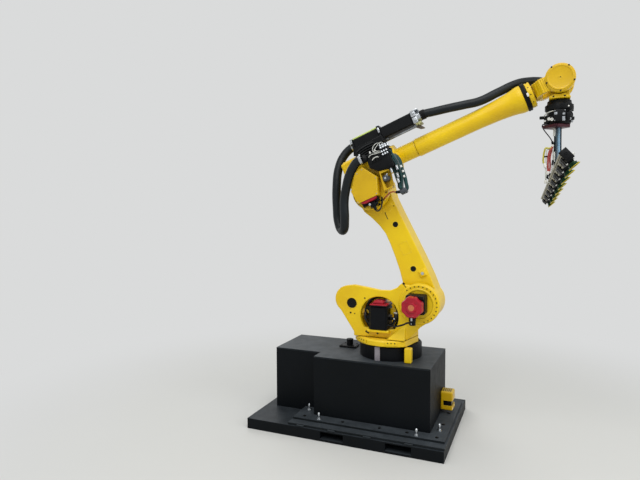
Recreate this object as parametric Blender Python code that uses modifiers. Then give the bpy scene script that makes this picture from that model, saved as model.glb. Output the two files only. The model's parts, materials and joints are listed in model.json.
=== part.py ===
"""Industrial robot arm on a riser: six joints, built with Blender's modelling tools."""

import math

import bpy
import bmesh
from mathutils import Matrix, Vector

# Driving dimensions in metres and degrees

FLOOR_TO_BASE = 0.525
J2_X = 0.312
J2_Z = FLOOR_TO_BASE + 0.670
LOWER_ARM_LENGTH = 1.075
LOWER_ARM_LEAN = 24.08
FOREARM_RISE = 22.13
FOREARM_OFFSET = 0.225
FOREARM_LENGTH = 1.730
GAP = 0.0003

RING_RADIUS = 0.328
RING_BOTTOM = 0.8155
RING_TOP = 0.868
REDUCER_RADIUS = 0.285
RELIEF_RADIUS = 0.192
CORE_RADIUS = 0.076
BAR_LENGTH = 2.0
BAR_HALF_WIDTH = 0.027
BAR_HALF_DEPTH = 0.0335
TRUNNION_RADIUS = 0.0465
TRUNNION_DROP = 0.028
WINDOW_RADIUS = 0.176
BAR_PADS = 8

WALL_NEAR = -0.225
WALL_THICK = 0.050
ARM_NEAR = -0.150
ARM_FAR = 0.090

SKID_LOW = (-1.200, -0.593, 0.0)
SKID_HIGH = (0.597, 0.661, 0.096)
RISER_TOP = 0.6775
WALL = 0.012

STEPS = 48

for item in list(bpy.data.objects):
    bpy.data.objects.remove(item, do_unlink=True)

# Collections

scene = bpy.context.scene
parts = bpy.data.collections.new("industrial_robot_arm")
cutters = bpy.data.collections.new("cutters")
scene.collection.children.link(parts)
scene.collection.children.link(cutters)


# Materials

def colour(name, rgb, metallic=0.0, roughness=0.5):
    material = bpy.data.materials.new(name)
    material.use_nodes = True
    shader = material.node_tree.nodes["Principled BSDF"]
    shader.inputs["Base Color"].default_value = (rgb[0], rgb[1], rgb[2], 1.0)
    shader.inputs["Metallic"].default_value = metallic
    shader.inputs["Roughness"].default_value = roughness
    material.diffuse_color = (rgb[0], rgb[1], rgb[2], 1.0)
    return material


YELLOW = (0.80, 0.58, 0.01)
BLACK = (0.02, 0.02, 0.025)
DARK = (0.03, 0.035, 0.045)
STEEL = (0.55, 0.56, 0.58)
RED = (0.60, 0.02, 0.04)
GREY = (0.30, 0.31, 0.32)


# Frames: one empty on each joint axis

def joint_frame(name, place, turn_y, parent, turn=None):
    frame = bpy.data.objects.new(name, None)
    frame.empty_display_size = 0.1
    parts.objects.link(frame)
    if turn is None:
        turn = Matrix.Rotation(math.radians(turn_y), 4, "Y")
    world = Matrix.Translation(place) @ turn
    frame.parent = parent
    if parent is None:
        frame.matrix_local = world
    else:
        frame.matrix_local = WORLD[parent.name].inverted() @ world
    WORLD[name] = world
    return frame


WORLD = {}
lean = math.radians(LOWER_ARM_LEAN)
rise = math.radians(FOREARM_RISE)
ALONG = Vector((math.cos(rise), 0.0, math.sin(rise)))
ACROSS = Vector((-math.sin(rise), 0.0, math.cos(rise)))
J2 = Vector((J2_X, 0.0, J2_Z))
J3 = J2 + LOWER_ARM_LENGTH * Vector((-math.sin(lean), 0.0, math.cos(lean)))
J5 = J3 + FOREARM_OFFSET * ACROSS + FOREARM_LENGTH * ALONG

ground = joint_frame("riser_frame", (0.0, 0.0, 0.0), 0.0, None)
turret = joint_frame("turret_axis", (0.0, 0.0, 0.0), 0.0, ground)
lower = joint_frame("lower_arm_axis", J2, -LOWER_ARM_LEAN, turret)
elbow = joint_frame("elbow_axis", J3, -FOREARM_RISE, lower)
forearm = joint_frame("forearm_axis", J3 + FOREARM_OFFSET * ACROSS, -FOREARM_RISE, elbow)
wrist = joint_frame("wrist_axis", J5, 0.0, forearm)
tool = joint_frame("tool_axis", J5, 0.0, wrist)


# Shape helpers: each returns an object whose mesh is in its frame's axes

def place_mesh(name, mesh, frame, collection=None):
    item = bpy.data.objects.new(name, mesh)
    (collection or parts).objects.link(item)
    item.parent = frame
    return item


def hide_as_guide(item):
    for holder in list(item.users_collection):
        holder.objects.unlink(item)
    cutters.objects.link(item)
    item.hide_render = True
    item.display_type = "WIRE"
    return item


def bevelled(item, width, segments=1):
    if width > 0.0:
        bevel = item.modifiers.new("bevel", "BEVEL")
        bevel.width = width
        bevel.segments = segments
        bevel.limit_method = "ANGLE"
        bevel.angle_limit = math.radians(40)
    return item


def block(name, frame, low, high, bevel=0.0, segments=1, turn=None):
    work = bmesh.new()
    bmesh.ops.create_cube(work, size=1.0)
    size = [high[i] - low[i] for i in range(3)]
    middle = Vector([(high[i] + low[i]) / 2 for i in range(3)])
    bmesh.ops.scale(work, vec=size, verts=work.verts)
    if turn is not None:
        bmesh.ops.rotate(work, cent=(0, 0, 0), matrix=Matrix.Rotation(math.radians(turn[1]), 3, turn[0]),
                         verts=work.verts)
    bmesh.ops.translate(work, vec=middle, verts=work.verts)
    mesh = bpy.data.meshes.new(name)
    work.to_mesh(mesh)
    work.free()
    return bevelled(place_mesh(name, mesh, frame), bevel, segments)


def rod(name, frame, start, end, radius, radius_end=None, sides=48, bevel=0.0):
    start = Vector(start)
    end = Vector(end)
    turn = (end - start).to_track_quat("Z", "Y").to_matrix().to_4x4()
    work = bmesh.new()
    bmesh.ops.create_cone(work, cap_ends=True, segments=sides, radius1=radius,
                          radius2=radius if radius_end is None else radius_end,
                          depth=(end - start).length,
                          matrix=Matrix.Translation((start + end) / 2) @ turn)
    mesh = bpy.data.meshes.new(name)
    work.to_mesh(mesh)
    work.free()
    return bevelled(place_mesh(name, mesh, frame), bevel)


def turned(name, frame, profile, centre, axis, steps=STEPS, closed=False):
    mesh = bpy.data.meshes.new(name)
    count = len(profile)
    area = sum(profile[i - 1][0] * profile[i][1] - profile[i][0] * profile[i - 1][1] for i in range(count))
    if area > 0.0:
        profile = list(reversed(profile))
    edges = [(i, i + 1) for i in range(count - 1)]
    if closed:
        edges.append((count - 1, 0))
    mesh.from_pydata([(r, 0.0, z) for r, z in profile], edges, [])
    item = place_mesh(name, mesh, frame)
    item.matrix_local = Matrix.Translation(centre) @ Vector(axis).to_track_quat("Z", "Y").to_matrix().to_4x4()
    screw = item.modifiers.new("turned", "SCREW")
    screw.axis = "Z"
    screw.steps = steps
    screw.render_steps = steps
    screw.use_merge_vertices = True
    screw.merge_threshold = 0.0001
    screw.use_normal_calculate = False
    screw.use_smooth_shade = True
    return item


def curve_mesh(name, curve, frame):
    holder = bpy.data.objects.new(name + "_path", curve)
    cutters.objects.link(holder)
    bpy.context.view_layer.update()
    graph = bpy.context.evaluated_depsgraph_get()
    mesh = bpy.data.meshes.new_from_object(holder.evaluated_get(graph))
    mesh.name = name
    work = bmesh.new()
    work.from_mesh(mesh)
    bmesh.ops.remove_doubles(work, verts=work.verts, dist=0.00001)
    bmesh.ops.recalc_face_normals(work, faces=work.faces)
    work.to_mesh(mesh)
    work.free()
    bpy.data.objects.remove(holder, do_unlink=True)
    return place_mesh(name, mesh, frame)


SIDE = Matrix(((1, 0, 0, 0), (0, 0, -1, 0), (0, 1, 0, 0), (0, 0, 0, 1)))
FRONT = Matrix(((0, 0, 1, 0), (1, 0, 0, 0), (0, 1, 0, 0), (0, 0, 0, 1)))
PLAN = Matrix.Identity(4)


def plate(name, frame, outline, low, high, holes=(), view=SIDE, bevel=0.0, segments=1):
    curve = bpy.data.curves.new(name, "CURVE")
    curve.dimensions = "2D"
    curve.fill_mode = "BOTH"
    curve.extrude = (high - low) / 2
    for points in [outline] + list(holes):
        spline = curve.splines.new("POLY")
        spline.points.add(len(points) - 1)
        for point, (x, y) in zip(spline.points, points):
            point.co = (x, y, 0.0, 1.0)
        spline.use_cyclic_u = True
    item = curve_mesh(name, curve, frame)
    shift = {"SIDE": Vector((0, (low + high) / 2, 0)),
             "FRONT": Vector(((low + high) / 2, 0, 0)),
             "PLAN": Vector((0, 0, (low + high) / 2))}
    key = "SIDE" if view is SIDE else "FRONT" if view is FRONT else "PLAN"
    item.data.transform(Matrix.Translation(shift[key]) @ view)
    return bevelled(item, bevel, segments)


def circle(x, y, radius, count=32):
    return [(x + radius * math.cos(2 * math.pi * i / count),
             y + radius * math.sin(2 * math.pi * i / count)) for i in range(count)]


def arc(x, y, radius, start, end, count=10):
    return [(x + radius * math.cos(math.radians(start + (end - start) * i / count)),
             y + radius * math.sin(math.radians(start + (end - start) * i / count)))
            for i in range(count + 1)]


def hose(name, frame, points, radius, sides=2, steps=5):
    curve = bpy.data.curves.new(name, "CURVE")
    curve.dimensions = "3D"
    curve.bevel_depth = radius
    curve.bevel_resolution = sides
    curve.use_fill_caps = True
    curve.resolution_u = steps
    spline = curve.splines.new("BEZIER")
    spline.bezier_points.add(len(points) - 1)
    for knot, point in zip(spline.bezier_points, points):
        knot.co = point
        knot.handle_left_type = "AUTO"
        knot.handle_right_type = "AUTO"
    for end in (0, -1):
        spline.bezier_points[end].handle_left_type = "VECTOR"
        spline.bezier_points[end].handle_right_type = "VECTOR"
    return curve_mesh(name, curve, frame)


def join(item, *others):
    for other in others:
        union = item.modifiers.new("join", "BOOLEAN")
        union.operation = "UNION"
        union.solver = "EXACT"
        union.object = hide_as_guide(other)
    return item


def cut(item, *others):
    for other in others:
        difference = item.modifiers.new("cut", "BOOLEAN")
        difference.operation = "DIFFERENCE"
        difference.solver = "EXACT"
        difference.object = hide_as_guide(other)
    return item


def paint(item, rgb, metallic=0.0, roughness=0.5):
    item.data.materials.clear()
    item.data.materials.append(colour(item.name, rgb, metallic, roughness))
    for face in item.data.polygons:
        face.use_smooth = True
    return item


# Skid bay with fork pockets

skid = block("skid_bay", ground, SKID_LOW, SKID_HIGH)
cut(skid,
    block("pocket_left_cut", ground, (-0.470, -0.7, 0.022), (-0.258, 0.8, 0.084)),
    block("pocket_right_cut", ground, (0.115, -0.7, 0.022), (0.333, 0.8, 0.084)))
paint(skid, DARK)

# Two base plates under the riser

lower_plate = block("lower_base_plate", ground, (-0.790, -0.573, 0.0963), (0.600, 0.573, 0.1147))
paint(lower_plate, DARK)

holes = [circle(x, y, 0.015, 20) for x, y in
         [(-0.69, -0.43), (-0.32, -0.43), (0.02, -0.43), (0.26, -0.43), (0.51, -0.43),
          (0.515, -0.14), (0.515, 0.14),
          (-0.69, 0.43), (-0.32, 0.43), (0.02, 0.43), (0.26, 0.43), (0.51, 0.43)]]
flange_plate = plate("flange_plate", ground,
                     [(-0.783, -0.487), (0.584, -0.487), (0.584, 0.487), (-0.783, 0.487)],
                     0.1150, 0.1337, holes, PLAN)
paint(flange_plate, DARK)

# Riser box: walls, top plate and the pedestal inside

outer = [(-1.094, -0.209), (-0.624, -0.209), (-0.624, -0.369), (0.4425, -0.369), (0.4425, 0.367), (-1.094, 0.367)]
inner = [(-1.094 + WALL, -0.209 + WALL), (-0.624 + WALL, -0.209 + WALL), (-0.624 + WALL, -0.369 + WALL),
         (0.4425 - WALL, -0.369 + WALL), (0.4425 - WALL, 0.367 - WALL), (-1.094 + WALL, 0.367 - WALL)]
walls = plate("riser_walls", ground, outer, 0.0963, 0.6652, [inner], PLAN)
cut(walls, block("plate_notch_cut", ground, (-0.7925, -0.8, 0.05), (0.8, 0.8, 0.1340)))
paint(walls, BLACK)

top = plate("riser_top", ground, outer, 0.6655, RISER_TOP, [circle(0.0, 0.0, 0.245, 64)], PLAN)
paint(top, DARK)

pedestal = plate("base_pedestal", ground,
                 [(-0.30, -0.30), (0.30, -0.30), (0.30, 0.30), (-0.30, 0.30)], 0.1340, 0.5247,
                 [[(-0.28, -0.28), (0.28, -0.28), (0.28, 0.28), (-0.28, 0.28)]], PLAN)
join(pedestal, block("pedestal_top_union", ground, (-0.30, -0.30, 0.4947), (0.30, 0.30, 0.5247)))
paint(pedestal, DARK)

# Fixed base of the arm

base = block("robot_base", ground, (-0.29, -0.29, 0.525), (0.29, 0.29, 0.560), 0.012)
join(base,
     rod("base_column_union", ground, (0, 0, 0.55), (0, 0, RISER_TOP), 0.225, sides=64))
paint(base, YELLOW)
lug = block("base_lug", ground, (0.195, -0.278, RISER_TOP + GAP), (0.256, -0.218, 0.8095), 0.006)
paint(lug, YELLOW)

reducer = turned("base_reducer_housing", ground,
                 [(0.0, RISER_TOP + GAP), (REDUCER_RADIUS, RISER_TOP + GAP), (REDUCER_RADIUS, 0.795),
                  (REDUCER_RADIUS - 0.015, 0.8100), (0.12, 0.8100), (0.12, 0.8150), (0.0, 0.8150)],
                 (0, 0, 0), (0, 0, 1))
paint(reducer, DARK)

strip = block("base_side_strip", ground, (-0.066, -0.300, RISER_TOP + GAP), (-0.019, -0.2853, 0.806), 0.003)
paint(strip, STEEL)

# Cable entry on the riser top

entry = block("cable_entry", ground, (-0.53, 0.03, RISER_TOP + GAP), (-0.36, 0.17, 0.695), 0.006)
join(entry, rod("gland_union", ground, (-0.441, 0.102, 0.69), (-0.441, 0.102, 0.745), 0.032, sides=24))
paint(entry, BLACK)

# Safety scanner on the riser's end

scanner = block("scanner_housing", ground, (0.4428, 0.10, 0.172), (0.5550, 0.235, 0.342), 0.012, 3)
cut(scanner, block("scanner_slot_cut", ground, (0.470, 0.05, 0.215), (0.60, 0.30, 0.262)))
paint(scanner, YELLOW)
band = block("scanner_window", ground, (0.4703, 0.108, 0.2153), (0.545, 0.227, 0.2617), 0.004)
paint(band, BLACK)

# Turret ring and casting

ring = turned("turret_ring", turret,
              [(0.0, RING_BOTTOM), (RING_RADIUS - 0.006, RING_BOTTOM), (RING_RADIUS, RING_BOTTOM + 0.006),
               (RING_RADIUS, RING_TOP - 0.012), (RING_RADIUS - 0.012, RING_TOP), (0.0, RING_TOP)],
              (0, 0, 0), (0, 0, 1), 96)
cut(ring, plate("ring_front_cut", turret,
                [(0.258, 0.0), (0.200, -0.258), (0.200, -0.5), (0.6, -0.5), (0.6, 0.5), (0.200, 0.5),
                 (0.200, 0.258)],
                0.7, 1.0, (), PLAN))
paint(ring, YELLOW)


def from_j2(points):
    return [(J2_X + x, J2_Z + z) for x, z in points]


near_outline = from_j2(
    arc(-0.655, 0.005, 0.125, 235, 95, 10)
    + [(-0.600, 0.140), (-0.491, 0.126), (-0.347, 0.103), (-0.260, 0.105), (-0.205, 0.130), (-0.150, 0.165)]
    + arc(0.0, 0.0, 0.180, 118, -72, 18)
    + [(0.010, -0.205), (-0.040, -0.262), (-0.105, -0.326)]
    + [(-0.598, -0.326), (-0.598, -0.290)])
window = arc(-0.358, -0.133, WINDOW_RADIUS, -39.1, 219.1, 32)
near_wall = plate("turret_casting", turret, near_outline, WALL_NEAR, WALL_NEAR + WALL_THICK,
                  [from_j2(window), from_j2(circle(-0.617, -TRUNNION_DROP, TRUNNION_RADIUS, 24))],
                  SIDE, 0.008)
far_outline = from_j2(
    arc(-0.640, -0.050, 0.105, 235, 95, 8)
    + [(-0.590, 0.040), (-0.500, 0.020), (-0.340, -0.060), (-0.200, -0.200), (-0.140, -0.260), (-0.105, -0.326),
       (-0.598, -0.326), (-0.598, -0.290)])
far_wall = plate("far_wall_union", turret, far_outline, 0.175, 0.225,
                 [from_j2(circle(-0.617, -TRUNNION_DROP, TRUNNION_RADIUS, 24))], SIDE, 0.008)
deck = plate("deck_union", turret,
             [(-0.286, -0.220), (0.203, -0.220), (0.255, 0.0), (0.203, 0.220), (-0.286, 0.220)],
             0.8685, 0.905, (), PLAN)
front_body = plate("front_body_union", turret,
                   [(-0.050, -0.186), (0.208, -0.186), (0.250, 0.0), (0.208, 0.186), (-0.050, 0.186)],
                   0.890, 0.945, (), PLAN)
gusset = plate("gusset_union", turret, [(-0.2165, 1.030), (-0.288, 0.8710), (-0.203, 0.8710), (-0.203, 1.030)],
               J2_X - 0.290, J2_X - 0.114, (), FRONT)
cut(gusset, plate("gusset_side_cut", turret,
                  [(0.012, 0.850), (0.215, 1.034), (0.215, 1.100), (-0.100, 1.100), (-0.100, 0.850)],
                  -0.4, -0.1, (), SIDE))
tie = block("tie_union", turret, (J2_X - 0.580, -0.200, J2_Z - 0.300), (J2_X - 0.535, 0.200, J2_Z - 0.150))
flange = rod("shoulder_flange_union", turret, (J2_X, WALL_NEAR + 0.01, J2_Z),
             (J2_X, WALL_NEAR - 0.020, J2_Z), 0.174, sides=64, bevel=0.005)
motor_foot = block("turn_motor_foot_union", turret, (J2_X - 0.455, -0.285, J2_Z - 0.268),
                   (J2_X - 0.255, WALL_NEAR + 0.01, J2_Z - 0.2423), 0.004)
join(near_wall, far_wall, deck, front_body, tie, flange, motor_foot, gusset)
paint(near_wall, YELLOW)

trunnion = rod("balancer_trunnion", turret, (J2_X - 0.617, -0.222, J2_Z - TRUNNION_DROP),
               (J2_X - 0.617, 0.222, J2_Z - TRUNNION_DROP), TRUNNION_RADIUS - 0.0006, sides=32)
paint(trunnion, BLACK)

barrel = rod("balancer_barrel", turret, (J2_X - 0.70, 0.0, J2_Z - TRUNNION_DROP),
             (J2_X - 0.330, 0.0, J2_Z - TRUNNION_DROP), 0.085, sides=40, bevel=0.008)
cut(barrel, rod("trunnion_bore_cut", turret, (J2_X - 0.617, -0.3, J2_Z - TRUNNION_DROP),
                (J2_X - 0.617, 0.3, J2_Z - TRUNNION_DROP), TRUNNION_RADIUS - 0.0003, sides=32))
paint(barrel, YELLOW)

shoulder_motor = block("shoulder_motor", turret, (J2_X - 0.088, -0.360, J2_Z - 0.068),
                       (J2_X + 0.076, WALL_NEAR - 0.0206, J2_Z + 0.096), 0.010)
join(shoulder_motor, rod("shoulder_plug_union", turret, (J2_X - 0.035, -0.325, J2_Z - 0.06),
                         (J2_X - 0.035, -0.325, J2_Z - 0.165), 0.028, sides=24))
paint(shoulder_motor, BLACK)
shoulder_cap = rod("shoulder_motor_cap", turret, (J2_X - 0.020, -0.3603, J2_Z + 0.002),
                   (J2_X - 0.020, -0.450, J2_Z + 0.002), 0.096, 0.087, 8)
paint(shoulder_cap, RED)

turn_motor = block("turn_motor_cover", turret, (J2_X - 0.432, -0.290, J2_Z - 0.2420),
                   (J2_X - 0.268, -0.100, J2_Z - 0.037), 0.014)
paint(turn_motor, BLACK)
turn_cap = block("turn_motor_cap", turret, (J2_X - 0.430, -0.288, J2_Z - 0.0367),
                 (J2_X - 0.275, -0.105, J2_Z - 0.020), 0.004)
join(turn_cap, block("encoder_union", turret, (J2_X - 0.400, -0.265, J2_Z - 0.030),
                     (J2_X - 0.312, -0.130, J2_Z + 0.018), 0.010))
paint(turn_cap, RED)

# Cables from the shoulder motor and round the turning motor

motor_cable = hose("motor_cable", turret,
                   [(J2_X - 0.0635, -0.325, J2_Z - 0.150), (J2_X - 0.076, -0.325, J2_Z - 0.150),
                    (J2_X - 0.112, -0.322, J2_Z - 0.168), (J2_X - 0.162, -0.315, J2_Z - 0.186),
                    (J2_X - 0.212, -0.302, J2_Z - 0.196), (J2_X - 0.252, -0.278, J2_Z - 0.196),
                    (J2_X - 0.2677, -0.275, J2_Z - 0.196)], 0.008, 1, 3)
paint(motor_cable, BLACK)
window_cable = hose("window_cable", turret,
                    [(J2_X - 0.2677, -0.195, J2_Z - 0.212), (J2_X - 0.255, -0.195, J2_Z - 0.212),
                     (J2_X - 0.226, -0.195, J2_Z - 0.170), (J2_X - 0.216, -0.195, J2_Z - 0.115),
                     (J2_X - 0.228, -0.120, J2_Z - 0.090), (J2_X - 0.280, -0.070, J2_Z - 0.104),
                     (J2_X - 0.420, -0.070, J2_Z - 0.122), (J2_X - 0.482, -0.110, J2_Z - 0.105),
                     (J2_X - 0.497, -0.190, J2_Z - 0.120), (J2_X - 0.484, -0.200, J2_Z - 0.180),
                     (J2_X - 0.450, -0.195, J2_Z - 0.208), (J2_X - 0.4323, -0.195, J2_Z - 0.208)], 0.013, 2, 3)
paint(window_cable, BLACK)

# Lower arm

arm_outline = (
    arc(0.0, LOWER_ARM_LENGTH, 0.165, 8, 172, 14)
    + [(-0.166, 1.040), (-0.152, 0.946), (-0.108, 0.864), (-0.070, 0.771), (-0.048, 0.685), (-0.046, 0.579),
       (-0.051, 0.462), (-0.062, 0.332), (-0.078, 0.233), (-0.105, 0.170)]
    + arc(0.0, 0.0, 0.172, 142, 378, 22)
    + [(0.170, 0.172), (0.166, 0.371), (0.156, 0.559), (0.142, 0.814), (0.137, 0.960)])
arm = plate("lower_arm", lower, arm_outline, ARM_NEAR, ARM_FAR, (), SIDE, 0.016, 2)
join(arm,
     rod("hub_union", lower, (0, ARM_NEAR + 0.01, 0), (0, -0.1700, 0), 0.150, sides=64),
     rod("hub_pin_union", lower, (0, -0.16, 0), (0, -0.1745, 0), 0.080, sides=48),
     rod("top_pin_union", lower, (0, -0.14, LOWER_ARM_LENGTH), (0, -0.1645, LOWER_ARM_LENGTH), 0.080, sides=48),
     block("stop_union", lower, (0.093, -0.170, 0.205), (0.150, -0.14, 0.262), 0.004))
cut(arm,
    rod("hole_upper_cut", lower, (0.064, -0.2, 0.723), (0.064, -0.10, 0.723), 0.020, sides=24),
    rod("hole_lower_cut", lower, (0.053, -0.2, 0.300), (0.053, -0.10, 0.300), 0.020, sides=24))
paint(arm, YELLOW)

# Elbow casting

hub = rod("elbow_casting", elbow, (0, -0.255, 0), (0, -0.165, 0), 0.165, sides=64, bevel=0.01)
web = plate("web_union", elbow,
            [(-0.150, 0.0), (-0.165, 0.150), (-0.170, 0.330), (0.20, 0.340), (0.30, 0.30), (0.30, 0.15),
             (0.15, 0.02), (0.10, 0.0)], -0.245, -0.165, (), SIDE, 0.01)
body = block("body_union", elbow, (-0.165, -0.240, 0.180), (0.29, 0.13, 0.345), 0.02)
barrel_fore = rod("barrel_union", elbow, (0.05, 0, FOREARM_OFFSET), (0.300, 0, FOREARM_OFFSET), 0.118, sides=64)
snout = rod("snout_union", elbow, (0.295, 0, FOREARM_OFFSET), (0.485, 0, FOREARM_OFFSET), CORE_RADIUS, sides=64)
snout_pin = rod("snout_pin_union", elbow, (0.480, 0, FOREARM_OFFSET), (0.4895, 0, FOREARM_OFFSET), 0.040, sides=32)
join(hub, web, body, barrel_fore, snout, snout_pin)
cut(hub,
    rod("relief_cut", elbow, (0, -0.1648, 0), (0, 0.3, 0), RELIEF_RADIUS, sides=64),
    block("rear_relief_cut", elbow, (-0.5, -0.1648, -0.3), (-0.005, 0.3, 0.208)))
paint(hub, YELLOW)

elbow_motor = block("elbow_motor", elbow, (-0.092, -0.310, -0.115), (0.062, -0.2553, 0.058), 0.006)
join(elbow_motor, block("motor_plug_union", elbow, (-0.020, -0.335, -0.150), (0.030, -0.275, -0.105), 0.006))
paint(elbow_motor, BLACK)
elbow_cap = rod("elbow_motor_cap", elbow, (-0.013, -0.3353, -0.018), (-0.013, -0.350, -0.018), 0.077, 0.073, 12)
join(elbow_cap, rod("cap_body_union", elbow, (-0.013, -0.3103, -0.018), (-0.013, -0.336, -0.018), 0.070, sides=12))
paint(elbow_cap, RED)

# Sheet cover over the elbow motor, open at the bottom

guard = plate("motor_guard", elbow,
              [(0.042, 0.206), (0.134, 0.074), (0.084, -0.071), (-0.112, -0.075), (-0.130, 0.050), (-0.035, 0.185)],
              -0.360, -0.2553, (), SIDE, 0.003)
cut(guard, block("guard_inside_cut", elbow, (-0.096, -0.352, -0.3), (0.066, -0.20, 0.064)))
paint(guard, YELLOW)

# Valve box, bracket and connector block on the elbow's near side

valve_box = plate("valve_box", elbow,
                  [(0.155, 0.120), (0.255, 0.100), (0.310, 0.100), (0.310, 0.285), (0.100, 0.285), (0.100, 0.170)],
                  -0.345, -0.2453, (), SIDE, 0.006)
paint(valve_box, BLACK)
bracket = plate("regulator_bracket", elbow,
                [(0.162, 0.1183), (0.250, 0.1007), (0.222, -0.060), (0.140, -0.060)],
                -0.330, -0.2553, (), SIDE, 0.003)
cut(bracket, block("bracket_inside_cut", elbow, (0.168, -0.35, -0.048), (0.30, -0.268, 0.090)))
paint(bracket, YELLOW)
regulator = rod("air_regulator", elbow, (0.196, -0.2683, 0.035), (0.196, -0.350, 0.035), 0.027,
                sides=24, bevel=0.004)
paint(regulator, GREY)
bundle = hose("valve_hose_bundle", elbow,
              [(0.3103, -0.300, 0.195), (0.325, -0.300, 0.195), (0.350, -0.297, 0.160), (0.348, -0.292, 0.060),
               (0.335, -0.285, -0.060), (0.310, -0.278, -0.120), (0.283, -0.272, -0.095), (0.275, -0.268, -0.020),
               (0.280, -0.268, 0.080), (0.280, -0.268, 0.0997)], 0.016, 2, 3)
paint(bundle, (0.02, 0.09, 0.10))
connector = block("connector_block", elbow, (0.200, -0.300, 0.3453), (0.290, -0.180, 0.4033), 0.006)
paint(connector, STEEL)

# Hose retractor on top of the elbow

stand = block("retractor_stand", elbow, (-0.010, -0.16, 0.3453), (0.24, -0.04, 0.4137), 0.004)
paint(stand, YELLOW)
rear_tube = block("retractor_rear", elbow, (-0.010, -0.155, 0.4140), (0.245, -0.045, 0.5140), 0.010)
paint(rear_tube, BLACK)
front_tube = block("retractor_front", elbow, (0.2603, -0.155, 0.4000), (0.560, -0.045, 0.5050), 0.010)
paint(front_tube, BLACK)
join(rear_tube, block("strip_union", elbow, (0.000, -0.145, 0.505), (0.240, -0.095, 0.5250), 0.003))
clamp_mid = block("retractor_middle_clamp", elbow, (0.2453, -0.165, 0.392), (0.2600, -0.035, 0.526), 0.003)
paint(clamp_mid, STEEL, 0.9, 0.3)
clamp_front = block("retractor_front_clamp", elbow, (0.5603, -0.162, 0.396), (0.605, -0.038, 0.510), 0.003)
paint(clamp_front, STEEL, 0.9, 0.3)
join(clamp_front,
     rod("collar_union", elbow, (0.600, -0.100, 0.452), (0.632, -0.100, 0.452), 0.046, sides=24),
     plate("rail_union", elbow,
           [(0.290, 0.3997), (0.290, 0.388), (0.560, 0.360), (0.575, 0.335), (0.640, 0.335), (0.600, 0.400),
            (0.5603, 0.400), (0.5603, 0.3997)], -0.120, -0.080, (), SIDE))
clamp_rear = block("retractor_rear_clamp", elbow, (-0.0280, -0.160, 0.408), (-0.0103, -0.040, 0.520), 0.003)
paint(clamp_rear, STEEL, 0.9, 0.3)

loop_hose = hose("hose_loop", elbow,
                 [(-0.0283, -0.100, 0.464), (-0.050, -0.100, 0.464), (-0.138, -0.122, 0.425), (-0.215, -0.163, 0.335),
                  (-0.292, -0.203, 0.165), (-0.357, -0.210, -0.010), (-0.391, -0.215, -0.130),
                  (-0.380, -0.248, -0.215), (-0.335, -0.300, -0.225), (-0.290, -0.332, -0.165),
                  (-0.217, -0.345, 0.010), (-0.161, -0.350, 0.097), (-0.098, -0.350, 0.182),
                  (-0.037, -0.348, 0.237), (0.020, -0.345, 0.268), (0.0435, -0.345, 0.268)], 0.040)
paint(loop_hose, BLACK)
hose_clamp = block("hose_end_clamp", elbow, (0.0438, -0.388, 0.224), (0.068, -0.2453, 0.312), 0.003)
paint(hose_clamp, STEEL, 0.9, 0.3)

# Forearm tube, ring and wrist yoke

tube = turned("forearm_tube", forearm,
              [(0.0, 0.4900), (CORE_RADIUS + 0.004, 0.4900), (CORE_RADIUS + 0.006, 0.5000),
               (CORE_RADIUS + 0.004, FOREARM_LENGTH - 0.730), (CORE_RADIUS + 0.010, FOREARM_LENGTH - 0.530),
               (CORE_RADIUS + 0.020, FOREARM_LENGTH - 0.410), (CORE_RADIUS + 0.036, FOREARM_LENGTH - 0.330),
               (CORE_RADIUS + 0.037, FOREARM_LENGTH - 0.290), (0.0, FOREARM_LENGTH - 0.290)],
              (0, 0, 0), (1, 0, 0))
paint(tube, YELLOW)
black_ring = turned("forearm_ring", forearm,
                    [(0.0, FOREARM_LENGTH - 0.2897), (0.120, FOREARM_LENGTH - 0.2897),
                     (0.120, FOREARM_LENGTH - 0.2550), (0.0, FOREARM_LENGTH - 0.2550)], (0, 0, 0), (1, 0, 0))
paint(black_ring, BLACK)
ribs = []
for index in range(3):
    start = FOREARM_LENGTH - 0.212 + 0.014 * index
    ribs += [(0.070, start), (0.070, start + 0.006), (0.066, start + 0.008), (0.066, start + 0.012)]
yoke = turned("wrist_yoke", forearm,
              [(0.0, FOREARM_LENGTH - 0.2547), (0.106, FOREARM_LENGTH - 0.2547), (0.106, FOREARM_LENGTH - 0.216),
               (0.070, FOREARM_LENGTH - 0.214)] + ribs
              + [(0.066, FOREARM_LENGTH - 0.157), (0.0, FOREARM_LENGTH - 0.157)],
              (0, 0, 0), (1, 0, 0))
join(yoke,
     plate("yoke_bridge_union", forearm,
           [(FOREARM_LENGTH - 0.205, -0.070), (FOREARM_LENGTH - 0.155, -0.145), (FOREARM_LENGTH, -0.145),
            (FOREARM_LENGTH, -0.090), (FOREARM_LENGTH - 0.156, -0.090), (FOREARM_LENGTH - 0.156, 0.090),
            (FOREARM_LENGTH, 0.090), (FOREARM_LENGTH, 0.145), (FOREARM_LENGTH - 0.155, 0.145),
            (FOREARM_LENGTH - 0.205, 0.070)], -0.058, 0.058, (), PLAN),
     rod("yoke_near_disc_union", forearm, (FOREARM_LENGTH, -0.150, 0), (FOREARM_LENGTH, -0.0902, 0), 0.112, sides=48,
         bevel=0.006),
     rod("yoke_far_disc_union", forearm, (FOREARM_LENGTH, 0.150, 0), (FOREARM_LENGTH, 0.0902, 0), 0.1118, sides=44,
         bevel=0.006))
paint(yoke, YELLOW)

# Wrist housing between the yoke's arms

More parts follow.
